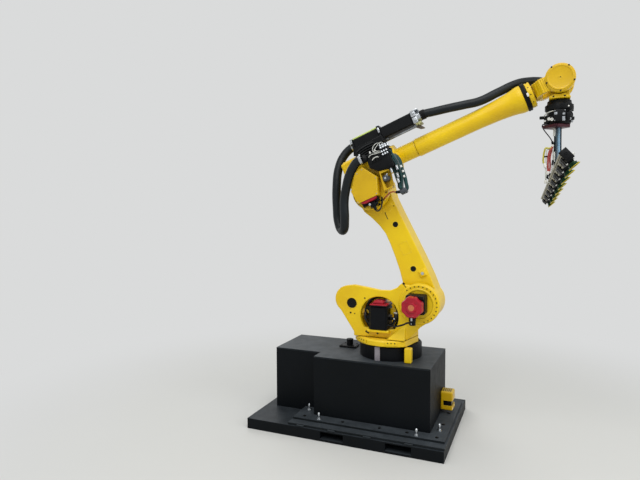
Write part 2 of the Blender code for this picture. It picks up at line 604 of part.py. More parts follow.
housing = rod("wrist_housing", wrist, (0, -0.080, 0), (0, 0.080, 0), 0.095, sides=48, bevel=0.006)
join(housing,
     plate("housing_neck_union", wrist, [(-0.080, 0.0), (0.080, 0.0), (0.072, -0.142), (-0.072, -0.142)],
           -0.075, 0.075, (), SIDE, 0.006),
     plate("housing_skirt_union", wrist,
           arc(0.0, 0.0, 0.1185, 253, 287, 6)
           + [(0.077, -0.136), (0.077, -0.1480), (-0.077, -0.1480), (-0.077, -0.136)],
           -0.112, 0.112, (), SIDE),
     rod("housing_flange_union", wrist, (0, 0, -0.140), (0, 0, -0.1500), 0.078, sides=48),
     rod("housing_pin_union", wrist, (0, -0.0895, 0), (0, 0.0895, 0), 0.045, sides=40))
paint(housing, YELLOW)

# Tool changer and the rods and hoses below it

changer = turned("tool_changer", tool,
                 [(0.0, -0.1505), (0.060, -0.1505), (0.060, -0.1550), (0.078, -0.1555), (0.087, -0.168),
                  (0.094, -0.186), (0.103, -0.190), (0.107, -0.232), (0.092, -0.240), (0.090, -0.255),
                  (0.096, -0.262), (0.096, -0.300), (0.088, -0.350), (0.075, -0.370), (0.0, -0.370)],
                 (0, 0, 0), (0, 0, 1), 40)
join(changer,
     block("mounting_plate_union", tool, (-0.122, -0.098, -0.352), (0.083, 0.098, -0.296), 0.008),
     block("coupling_left_union", tool, (-0.152, -0.030, -0.296), (-0.085, 0.015, -0.268), 0.004),
     block("coupling_right_union", tool, (0.080, -0.020, -0.312), (0.112, 0.020, -0.288), 0.004),
     block("coupling_front_union", tool, (-0.040, -0.125, -0.335), (0.045, -0.085, -0.240), 0.005))
paint(changer, BLACK)

# Bar with pads: its own frame at the near end, X along the bar and Z to the pads

NEAR_END = J5 + Vector((0.020, -BAR_LENGTH / 2, -0.686))
FAR_END = J5 + Vector((-0.087, BAR_LENGTH / 2, -0.919))
bar_x = (FAR_END - NEAR_END).normalized()
bar_z = Vector((0.655, 0.0, -0.756))
bar_z = (bar_z - bar_z.dot(bar_x) * bar_x).normalized()
bar_y = bar_z.cross(bar_x)
bar_turn = Matrix((bar_x, bar_y, bar_z)).transposed().to_4x4()
bar = joint_frame("bar_frame", NEAR_END, 0.0, tool, bar_turn)
BAR_END = (FAR_END - NEAR_END).length

beam = block("gripper_beam", bar, (0.0, -BAR_HALF_WIDTH, -BAR_HALF_DEPTH),
             (BAR_END, BAR_HALF_WIDTH, BAR_HALF_DEPTH), 0.003)
paint(beam, (0.45, 0.46, 0.45), 0.8, 0.4)
end_plate = block("beam_end_plate", bar, (-0.012, -0.029, -0.038), (-0.0003, 0.029, 0.044), 0.002)
paint(end_plate, BLACK)
for index in range(BAR_PADS):
    middle = 0.070 + (BAR_END - 0.140) * index / (BAR_PADS - 1)
    pad = block("pad_block_%d" % (index + 1), bar, (middle - 0.0225, -0.040, BAR_HALF_DEPTH + GAP),
                (middle + 0.0225, 0.024, BAR_HALF_DEPTH + 0.024), 0.003)
    join(pad,
         block("pad_cheek_union", bar, (middle - 0.0210, -0.0385, 0.002),
               (middle + 0.0210, -BAR_HALF_WIDTH - GAP, BAR_HALF_DEPTH + 0.012)),
         rod("pad_cup_union", bar, (middle, 0.001, BAR_HALF_DEPTH + 0.022),
             (middle, 0.001, BAR_HALF_DEPTH + 0.052), 0.027, 0.041, 20))
    paint(pad, BLACK)

post = rod("tool_post", tool, (-0.032, 0, -0.3703), (-0.032, 0, -0.745), 0.0105, sides=20)
join(post,
     block("post_foot_union", tool, (-0.066, -0.050, -0.775), (-0.008, 0.050, -0.735), 0.003),
     block("post_web_union", tool, (-0.046, -0.008, -0.745), (-0.020, 0.008, -0.660), 0.002))
cut(post, block("bar_seat_cut", bar, (-0.1, -BAR_HALF_WIDTH - GAP, -BAR_HALF_DEPTH - GAP),
                (BAR_END + 0.1, 0.5, 0.5)))
paint(post, STEEL, 0.8, 0.35)

air_hose = hose("blue_air_hose", tool,
                [(-0.004, 0.0, -0.3703), (-0.004, 0.0, -0.390), (-0.003, -0.004, -0.480), (0.001, -0.008, -0.580),
                 (-0.002, -0.006, -0.690), (-0.002, -0.006, -0.7197)], 0.014, 2, 3)
paint(air_hose, (0.05, 0.16, 0.28))

# Hose from the retractor to the wrist

hose_run = FOREARM_LENGTH - 0.650
front_hose = hose("front_hose", elbow,
                  [(0.6323, -0.100, 0.452), (0.650, -0.100, 0.452), (0.650 + 0.0741 * hose_run, -0.100, 0.424),
                   (0.650 + 0.2093 * hose_run, -0.095, 0.395), (0.650 + 0.3241 * hose_run, -0.080, 0.368),
                   (0.650 + 0.4296 * hose_run, -0.055, 0.352), (0.650 + 0.5796 * hose_run, 0.000, 0.364),
                   (0.650 + 0.7333 * hose_run, 0.070, 0.376), (FOREARM_LENGTH - 0.196, 0.130, 0.362),
                   (FOREARM_LENGTH - 0.137, 0.165, 0.342), (FOREARM_LENGTH - 0.085, 0.189, 0.314),
                   (FOREARM_LENGTH - 0.065, 0.189, 0.303)], 0.037)
paint(front_hose, BLACK)
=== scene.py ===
"""Looks of the industrial robot arm on its riser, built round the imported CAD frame."""

from __future__ import annotations

import json
import logging
import math
from dataclasses import dataclass, field
from enum import Enum

import bmesh
import bpy
from mathutils import Matrix, Vector
from mathutils.geometry import interpolate_bezier

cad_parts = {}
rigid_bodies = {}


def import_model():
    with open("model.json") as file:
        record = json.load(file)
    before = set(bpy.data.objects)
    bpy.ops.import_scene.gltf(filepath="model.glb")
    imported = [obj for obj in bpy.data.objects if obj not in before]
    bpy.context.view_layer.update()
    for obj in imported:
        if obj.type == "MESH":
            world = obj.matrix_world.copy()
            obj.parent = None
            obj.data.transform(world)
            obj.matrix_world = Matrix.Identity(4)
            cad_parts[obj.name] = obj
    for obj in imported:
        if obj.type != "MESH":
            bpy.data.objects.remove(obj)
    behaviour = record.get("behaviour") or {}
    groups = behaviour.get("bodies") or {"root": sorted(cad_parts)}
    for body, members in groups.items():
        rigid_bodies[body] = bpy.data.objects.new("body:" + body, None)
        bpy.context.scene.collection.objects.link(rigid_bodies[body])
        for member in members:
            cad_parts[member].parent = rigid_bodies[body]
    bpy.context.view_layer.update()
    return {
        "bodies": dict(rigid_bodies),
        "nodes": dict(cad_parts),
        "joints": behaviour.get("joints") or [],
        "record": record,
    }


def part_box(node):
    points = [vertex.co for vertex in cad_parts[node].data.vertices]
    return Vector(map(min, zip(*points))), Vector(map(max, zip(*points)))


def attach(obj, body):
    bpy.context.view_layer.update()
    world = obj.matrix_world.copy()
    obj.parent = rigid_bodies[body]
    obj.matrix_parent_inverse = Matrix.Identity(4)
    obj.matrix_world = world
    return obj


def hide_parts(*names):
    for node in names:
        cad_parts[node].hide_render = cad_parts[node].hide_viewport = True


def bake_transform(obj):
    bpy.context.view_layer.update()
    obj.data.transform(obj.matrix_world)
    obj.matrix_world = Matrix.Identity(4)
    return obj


LOG = logging.getLogger("robot_arm")

Point = tuple[float, float, float]
Flat = tuple[float, float]

MM = 0.001

# Ways: out towards the arm's right side, up, and ahead
OUT, UP, AHEAD = (0, -1, 0), (0, 0, 1), (1, 0, 0)


# Colour and node helpers

def linear(code: str) -> tuple[float, float, float, float]:
    """Turn an sRGB hex value into a linear colour.

    Args:
        code: six hex digits after a hash.

    Returns:
        Red, green, blue and alpha in linear light.
    """
    parts = [int(code[i:i + 2], 16) / 255 for i in (1, 3, 5)]
    light = [v / 12.92 if v <= 0.04045 else ((v + 0.055) / 1.055) ** 2.4 for v in parts]
    return (light[0], light[1], light[2], 1.0)


def add_node(tree: bpy.types.NodeTree, kind: str, inputs: dict | None = None, **settings: object) -> bpy.types.Node:
    """Add a node with its settings, values and links.

    Args:
        tree: the node tree that gets the node.
        kind: the node's type name.
        inputs: input name or number to a value or to the socket that feeds it.
        **settings: the node's own properties.

    Returns:
        The new node.
    """
    node = tree.nodes.new(kind)
    for name, value in settings.items():
        setattr(node, name, value)
    for key, value in (inputs or {}).items():
        if isinstance(value, bpy.types.NodeSocket):
            tree.links.new(value, node.inputs[key])
        else:
            node.inputs[key].default_value = value
    return node


def blend_colours(tree: bpy.types.NodeTree, mask: bpy.types.NodeSocket, first: object,
        second: object) -> bpy.types.NodeSocket:
    """Mix two colours by a mask.

    Args:
        tree: the node tree.
        mask: the socket with the share of the second colour.
        first: a hex code or a colour socket.
        second: a hex code or a colour socket.

    Returns:
        The mixed colour's socket.
    """
    mix = add_node(tree, "ShaderNodeMix", {0: mask}, data_type="RGBA")
    for index, value in ((6, first), (7, second)):
        if isinstance(value, str):
            mix.inputs[index].default_value = linear(value)
        else:
            tree.links.new(value, mix.inputs[index])
    return mix.outputs[2]


# Finishes

@dataclass(frozen=True)
class Finish:
    """A surface finish: what it is made of and how it was made."""
    name: str
    base: str
    shade: str
    roughness: float
    patch_mm: float
    grain_mm: float
    grain_depth: float
    specular: float = 0.5
    coat: float = 0.0
    metallic: float = 0.0
    # Pale film on upward faces: partly dust, partly painted light on the tops
    dust_and_top_light: str = ""
    dust_and_top_light_share: float = 0.0
    # Paler edge colour: partly rubbed wear, partly painted highlight
    edge_wear_and_highlight: str = ""
    # Darker copy of the base colour: painted shade in corners and recesses
    corner_shade: str = ""

    def build(self) -> bpy.types.Material:
        """Make the material once and hand back the same one after that."""
        known = bpy.data.materials.get(self.name)
        if known is not None:
            return known
        material = bpy.data.materials.new(self.name)
        material.use_nodes = True
        tree = material.node_tree
        shader = tree.nodes["Principled BSDF"]
        shader.inputs["Metallic"].default_value = self.metallic
        shader.inputs["Specular IOR Level"].default_value = self.specular
        shader.inputs["Coat Weight"].default_value = self.coat
        shader.inputs["Coat Roughness"].default_value = 0.15
        place = add_node(tree, "ShaderNodeTexCoord").outputs["Object"]
        patch = add_node(tree, "ShaderNodeTexNoise", {"Vector": place, "Scale": 1.0 / (self.patch_mm * MM),
            "Detail": 4.0})
        tone = add_node(tree, "ShaderNodeMapRange", {"Value": patch.outputs["Fac"], "From Min": 0.38, "From Max": 0.66})
        colour = blend_colours(tree, tone.outputs[0], self.base, self.shade)
        if self.edge_wear_and_highlight:
            colour = self.with_edges(tree, place, colour)
        # Pale film on upward faces: partly dust, partly painted top light
        if self.dust_and_top_light:
            colour = self.with_dust_and_top_light(tree, place, colour)
        tree.links.new(colour, shader.inputs["Base Color"])
        self.set_gloss(tree, shader, place)
        self.set_grain(tree, shader, place)
        material.diffuse_color = linear(self.base)
        return material

    def with_edges(self, tree: bpy.types.NodeTree, place: bpy.types.NodeSocket,
            colour: bpy.types.NodeSocket) -> bpy.types.NodeSocket:
        """Lighten the edges, partly rubbed wear and partly painted highlight, and darken the corners with painted
        shade.

        Args:
            tree: the material's tree.
            place: the Object coordinate socket.
            colour: the colour under the paler edges and the corner shade.

        Returns:
            The socket of the colour with its paler edges and painted corner shade.
        """
        # Paler edges along the bevel mask: partly rubbed wear, partly painted highlight
        flat = add_node(tree, "ShaderNodeNewGeometry").outputs["Normal"]
        rounded = add_node(tree, "ShaderNodeBevel", {"Radius": 2.0 * MM}, samples=4)
        agree = add_node(tree, "ShaderNodeVectorMath", {0: flat, 1: rounded.outputs[0]}, operation="DOT_PRODUCT")
        patchy = add_node(tree, "ShaderNodeTexNoise", {"Vector": place, "Scale": 22.0, "Detail": 5.0})
        edge = add_node(tree, "ShaderNodeMapRange", {"Value": agree.outputs["Value"], "From Min": 0.99,
            "From Max": 0.88, "To Max": 0.9})
        share = add_node(tree, "ShaderNodeMath", {0: edge.outputs[0], 1: patchy.outputs["Fac"]}, operation="MULTIPLY")
        colour = blend_colours(tree, share.outputs[0], colour, self.edge_wear_and_highlight)
        # Painted shade: the ambient occlusion mask darkens corners and recesses
        corner = add_node(tree, "ShaderNodeAmbientOcclusion", {"Distance": 30.0 * MM}, samples=4)
        depth = add_node(tree, "ShaderNodeMapRange", {"Value": corner.outputs["AO"], "From Min": 0.75, "From Max": 0.25,
            "To Max": 0.8})
        return blend_colours(tree, depth.outputs[0], colour, self.corner_shade)

    def with_dust_and_top_light(self, tree: bpy.types.NodeTree, place: bpy.types.NodeSocket,
            colour: bpy.types.NodeSocket) -> bpy.types.NodeSocket:
        """Lay a thin pale film on faces that look up: partly dust, partly painted light on the tops.

        Args:
            tree: the material's tree.
            place: the Object coordinate socket.
            colour: the colour under the film.

        Returns:
            The socket of the colour with its film.
        """
        facing = add_node(tree, "ShaderNodeNewGeometry")
        height = add_node(tree, "ShaderNodeSeparateXYZ", {0: facing.outputs["Normal"]})
        cloud = add_node(tree, "ShaderNodeTexNoise", {"Vector": place, "Scale": 9.0, "Detail": 6.0, "Roughness": 0.65})
        up = add_node(tree, "ShaderNodeMapRange", {"Value": height.outputs["Z"], "From Min": 0.35, "From Max": 1.0,
            "To Max": self.dust_and_top_light_share})
        share = add_node(tree, "ShaderNodeMath", {0: up.outputs[0], 1: cloud.outputs["Fac"]}, operation="MULTIPLY")
        return blend_colours(tree, share.outputs[0], colour, self.dust_and_top_light)

    def set_gloss(self, tree: bpy.types.NodeTree, shader: bpy.types.Node, place: bpy.types.NodeSocket) -> None:
        """Vary the roughness a little, as handling and cleaning leave it.

        Args:
            tree: the material's tree.
            shader: the Principled BSDF.
            place: the Object coordinate socket.
        """
        wipe = add_node(tree, "ShaderNodeTexNoise", {"Vector": place, "Scale": 14.0, "Detail": 5.0})
        gloss = add_node(tree, "ShaderNodeMapRange", {"Value": wipe.outputs["Fac"], "To Min": self.roughness * 0.82,
            "To Max": min(1.0, self.roughness * 1.2)})
        tree.links.new(gloss.outputs[0], shader.inputs["Roughness"])

    def set_grain(self, tree: bpy.types.NodeTree, shader: bpy.types.Node, place: bpy.types.NodeSocket) -> None:
        """Give the surface its fine texture: orange peel, powder grain or mould grain.

        Args:
            tree: the material's tree.
            shader: the Principled BSDF.
            place: the Object coordinate socket.
        """
        grain = add_node(tree, "ShaderNodeTexNoise", {"Vector": place, "Scale": 1.0 / (self.grain_mm * MM),
            "Detail": 2.0})
        bump = add_node(tree, "ShaderNodeBump", {"Height": grain.outputs["Fac"], "Strength": self.grain_depth,
            "Distance": 0.4 * MM})
        tree.links.new(bump.outputs["Normal"], shader.inputs["Normal"])


@dataclass(frozen=True)
class SleeveFinish(Finish):
    """A woven hose sleeve."""

    def set_grain(self, tree: bpy.types.NodeTree, shader: bpy.types.Node, place: bpy.types.NodeSocket) -> None:
        """Give the sleeve its weave, drawn at 3 mm so that it shows."""
        weave = add_node(tree, "ShaderNodeTexVoronoi", {"Vector": place, "Scale": 1.0 / (self.grain_mm * MM)},
            feature="DISTANCE_TO_EDGE")
        bump = add_node(tree, "ShaderNodeBump", {"Height": weave.outputs["Distance"], "Strength": self.grain_depth,
            "Distance": 0.6 * MM})
        tree.links.new(bump.outputs["Normal"], shader.inputs["Normal"])


@dataclass(frozen=True)
class BrushedFinish(Finish):
    """Bare metal with fine lines from rolling, drawing or machining."""
    lines: Point = (1.0, 1.0, 40.0)

    def set_grain(self, tree: bpy.types.NodeTree, shader: bpy.types.Node, place: bpy.types.NodeSocket) -> None:
        """Draw the lines as noise that is stretched along one axis."""
        stretch = add_node(tree, "ShaderNodeMapping", {"Vector": place, "Scale": self.lines})
        line = add_node(tree, "ShaderNodeTexNoise", {"Vector": stretch.outputs[0], "Scale": 1.0 / (self.grain_mm * MM),
            "Detail": 3.0})
        bump = add_node(tree, "ShaderNodeBump", {"Height": line.outputs["Fac"], "Strength": self.grain_depth,
            "Distance": 0.2 * MM})
        tree.links.new(bump.outputs["Normal"], shader.inputs["Normal"])


# Two-pack enamel sprayed on iron castings: gloss with a slight orange peel, edges paler partly from rubbing and partly
# painted highlight
CAST_ENAMEL = Finish("yellow_enamel_on_cast_iron", "#EFCB02", "#E2B902", 0.4, 420.0, 5.0, 0.1, specular=0.35, coat=0.1,
    dust_and_top_light="#EFE07A", dust_and_top_light_share=0.25, edge_wear_and_highlight="#F6E674", corner_shade="#7A5A08")
# The same enamel on machined and sheet parts: flatter, with a cleaner reflection; its darker base colour is painted
# shade
SHEET_ENAMEL = Finish("yellow_enamel_on_sheet_steel", "#D4AC02", "#C8A002", 0.38, 260.0, 6.0, 0.06, specular=0.35,
    coat=0.12, dust_and_top_light="#EFE07A", dust_and_top_light_share=0.2, edge_wear_and_highlight="#F2DE62", corner_shade="#7A5A08")
# Polyester powder coat, fine textured: black with a soft broad sheen, paler on top from dust and painted top light
BLACK_POWDER = Finish("black_powder_coat", "#070B0E", "#0A0E12", 0.52, 600.0, 2.5, 0.2, specular=0.12, dust_and_top_light="#596066",
    dust_and_top_light_share=0.45, edge_wear_and_highlight="#2A3036", corner_shade="#07090B")
# Powder coat of the plates that people stand on: dustier and duller; its paler base partly paints the light on the
# riser's top
DECK_POWDER = Finish("grey_black_powder_coat", "#12171A", "#1A1F23", 0.55, 350.0, 3.0, 0.25, specular=0.2,
    dust_and_top_light="#636A70", dust_and_top_light_share=0.5, edge_wear_and_highlight="#3A4046", corner_shade="#0B0D0F")
# Baked black paint on aluminium motor housings: satin, slightly grainy from the die
MOTOR_BLACK = Finish("black_paint_on_die_cast_aluminium", "#07090C", "#0B0E12", 0.45, 90.0, 1.5, 0.15, specular=0.13,
    edge_wear_and_highlight="#2C3036", corner_shade="#050607")
# Moulded red nylon of the encoder covers: slightly glossy, with a fine mould grain
RED_NYLON = Finish("moulded_red_nylon", "#AE1029", "#9C0B22", 0.36, 80.0, 1.6, 0.12, specular=0.35, coat=0.08,
    edge_wear_and_highlight="#D2465A", corner_shade="#5A0412")
# Blank tan label in the middle of the shoulder motor's cover: printed film, its print left off
TAN_LABEL = Finish("blank_tan_label_film", "#C9774C", "#B96540", 0.42, 18.0, 1.0, 0.03, specular=0.3)
# Moulded black nylon of valve boxes, connectors and holders
BLACK_NYLON = Finish("moulded_black_nylon", "#080A0C", "#0E1012", 0.48, 60.0, 1.4, 0.18, specular=0.16,
    edge_wear_and_highlight="#1C1F22", corner_shade="#050607")
# Dark red-brown anodised aluminium of the adapter plate under the tool changer
MAROON_ANODISED = Finish("maroon_anodised_aluminium", "#4A1523", "#34101A", 0.4, 60.0, 1.2, 0.06, specular=0.3,
    metallic=0.2)
# Woven textile sleeve with a rubber coat over the hose bundle: matte, soft highlight
HOSE_SLEEVE = SleeveFinish("rubber_coated_hose_sleeve", "#0C1215", "#12191D", 0.44, 160.0, 3.0, 0.35, specular=0.26)
# Cable jackets of plasticised vinyl: smooth, dark, small highlights
CABLE_VINYL = Finish("black_vinyl_cable_jacket", "#0C0E10", "#15181A", 0.38, 40.0, 1.2, 0.08, specular=0.3)
TEAL_VINYL = Finish("teal_vinyl_hose", "#15403F", "#0C2B2D", 0.36, 40.0, 1.2, 0.06, specular=0.4)
GREY_VINYL = Finish("grey_vinyl_cable_jacket", "#55605F", "#434D4D", 0.38, 40.0, 1.2, 0.06, specular=0.4)
# Polyurethane air hose: bright colour, wet-looking gloss
BLUE_URETHANE = Finish("blue_polyurethane_air_hose", "#7FA3BC", "#5F89A8", 0.26, 50.0, 1.0, 0.03, coat=0.2)
DARK_TEAL_URETHANE = Finish("dark_teal_polyurethane_air_hose", "#12303C", "#0C232D", 0.28, 50.0, 1.0, 0.03, coat=0.3)
RED_URETHANE = Finish("red_polyurethane_air_hose", "#A23A30", "#862820", 0.3, 50.0, 1.0, 0.03, coat=0.15)
YELLOW_URETHANE = Finish("yellow_polyurethane_air_hose", "#C2B83C", "#A89E2C", 0.3, 50.0, 1.0, 0.03, coat=0.15)
CLEAR_URETHANE = Finish("milky_polyurethane_air_hose", "#C9CBC4", "#B4B7B0", 0.28, 50.0, 1.0, 0.03, coat=0.3)
WHITE_NYLON = Finish("white_nylon_fitting", "#E4E4DE", "#D6D6CF", 0.35, 30.0, 1.0, 0.05)
GREY_NYLON = Finish("grey_nylon_valve", "#A2A7AB", "#8C9196", 0.4, 30.0, 1.0, 0.06)
# Die-cast zinc of the regulator and the manifold: grey with a dull shine
DIE_CAST_ZINC = Finish("grey_zinc_die_casting", "#4C5157", "#3C4147", 0.42, 30.0, 1.0, 0.08, metallic=0.3)
# Zinc plating on clamps and screws: bright, bluish grey, fine random scratches
ZINC = BrushedFinish("bright_zinc_plated_steel", "#C9CDD0", "#AEB3B8", 0.3, 25.0, 1.5, 0.1, metallic=1.0,
    lines=(6.0, 1.0, 1.0))
# Rolled stainless sheet of the clamp straps and rails
ROLLED_STEEL = BrushedFinish("rolled_stainless_sheet", "#A9ADB0", "#8F9498", 0.36, 60.0, 2.0, 0.12, metallic=1.0,
    lines=(1.0, 12.0, 12.0))
# Lilac-grey primer of the strip on the base: dull, a little uneven
GREY_PRIMER = Finish("lilac_grey_primer", "#8F8A90", "#7F7A80", 0.6, 60.0, 1.5, 0.12)
# Black oxide on socket screws: dark metal with a dull shine
BLACK_OXIDE = Finish("black_oxide_screws", "#171513", "#0F0E0D", 0.45, 12.0, 1.0, 0.05, metallic=0.5)
# Clear anodised extrusion of the gripper bar: satin grey, drawn lines along its length
ANODISED = BrushedFinish("clear_anodised_aluminium", "#A8A593", "#9C9987", 0.5, 140.0, 1.5, 0.08, specular=0.3,
    metallic=0.25, lines=(3.0, 0.1, 3.0))
# Green and yellow polyurethane of the suction cups: soft matte rubbers
GREEN_CUP = Finish("green_polyurethane_cup", "#184726", "#10351C", 0.5, 20.0, 1.0, 0.05, specular=0.3)
YELLOW_CUP = Finish("yellow_polyurethane_lip", "#CDB928", "#BDA31C", 0.45, 20.0, 1.0, 0.05, specular=0.3)
# Olive passivated bracket and the lime strip on the retractor
OLIVE_CHROMATE = Finish("olive_chromated_steel", "#A9A878", "#8F8E60", 0.42, 20.0, 1.0, 0.08, metallic=0.3)
BROWN_STEEL = Finish("brown_phosphated_steel", "#6B6257", "#584F45", 0.5, 30.0, 1.2, 0.1, metallic=0.3)
LIME_TAPE = Finish("lime_reflective_tape", "#CBDD7A", "#B9CE5C", 0.38, 120.0, 1.0, 0.04)
# Smoked polycarbonate window of the safety scanner: near black and very smooth
SMOKED_WINDOW = Finish("smoked_polycarbonate", "#060708", "#0A0B0C", 0.12, 60.0, 4.0, 0.0, specular=0.35, coat=0.3)


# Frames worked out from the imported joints

class Body(Enum):
    """The CAD bodies that pieces ride on."""
    RISER = "riser"
    TURRET = "turret"
    LOWER_ARM = "lower_arm"
    ELBOW = "elbow"
    FOREARM = "forearm"
    WRIST = "wrist"
    TOOL = "tool"


def frame_from(origin: Vector, x: Vector, y: Vector, z: Vector) -> Matrix:
    """Build a local frame's matrix.

    Args:
        origin: where the frame sits.
        x: its first axis.
        y: its second axis.
        z: its third axis.

    Returns:
        The matrix from the local frame to the row frame.
    """
    matrix = Matrix((x, y, z)).transposed().to_4x4()
    matrix.translation = origin
    return matrix


@dataclass
class Skeleton:
    """The arm's joint places and local frames in metres, and its two lengths in millimetres."""
    joints: list[dict]
    shoulder: Vector = field(init=False)
    elbow_point: Vector = field(init=False)
    wrist_point: Vector = field(init=False)
    world: Matrix = field(init=False)
    lower_arm: Matrix = field(init=False)
    elbow: Matrix = field(init=False)
    forearm: Matrix = field(init=False)
    wrist: Matrix = field(init=False)
    bar: Matrix = field(init=False)
    reach: float = field(init=False)
    bar_length: float = field(init=False)

    def __post_init__(self) -> None:
        """Work out every frame from the joints."""
        by_name = {joint["name"]: joint for joint in self.joints}
        self.shoulder = Vector(by_name["lower_arm_swing"]["pos_m"])
        self.elbow_point = Vector(by_name["elbow_swing"]["pos_m"])
        self.wrist_point = Vector(by_name["wrist_bend"]["pos_m"])
        side = Vector((0.0, 1.0, 0.0))
        self.world = Matrix.Identity(4)
        up_arm = (self.elbow_point - self.shoulder).normalized()
        self.lower_arm = frame_from(self.shoulder, side.cross(up_arm), side, up_arm)
        along = Vector(by_name["forearm_roll"]["axis"]).normalized()
        across = along.cross(side)
        self.elbow = frame_from(self.elbow_point, along, side, across)
        span = self.wrist_point - self.elbow_point
        self.reach = span.dot(along) / MM
        self.forearm = frame_from(self.elbow_point + span.dot(across) * across, along, side, across)
        self.wrist = Matrix.Translation(self.wrist_point)
        self.set_bar()

    def set_bar(self) -> None:
        """Place the gripper bar's frame: X along the bar, Z towards the pads."""
        near = self.wrist_point + Vector(BAR_NEAR_END)
        far = self.wrist_point + Vector(BAR_FAR_END)
        x = (far - near).normalized()
        z = Vector(BAR_PAD_SIDE)
        z = (z - z.dot(x) * x).normalized()
        self.bar = frame_from(near, x, z.cross(x), z)
        self.bar_length = (far - near).length / MM


BAR_NEAR_END = (0.02, -1.0, -0.686)
BAR_FAR_END = (-0.087, 1.0, -0.919)
BAR_PAD_SIDE = (0.655, 0.0, -0.756)


# Mesh building

def faces_smooth(work: bmesh.types.BMesh, limit: float = 32.0) -> None:
    """Shade smooth and mark the edges that turn by more than a limit as sharp.

    Args:
        work: the mesh.
        limit: the angle in degrees.
    """
    for face in work.faces:
        face.smooth = True
    for edge in work.edges:
        edge.smooth = not (edge.is_manifold and edge.calc_face_angle(0.0) > math.radians(limit))


def sampled(knots: list[bpy.types.BezierSplinePoint], steps: int) -> list[Vector]:
    """List the points of a Bezier route.

    Args:
        knots: its knots in order.
        steps: the number of steps between two knots.

    Returns:
        The points from its first knot to its last.
    """
    points = [knots[0].co.copy()]
    for first, last in zip(knots[:-1], knots[1:]):
        points += interpolate_bezier(first.co, first.handle_right, last.handle_left, last.co, steps + 1)[1:]
    return points


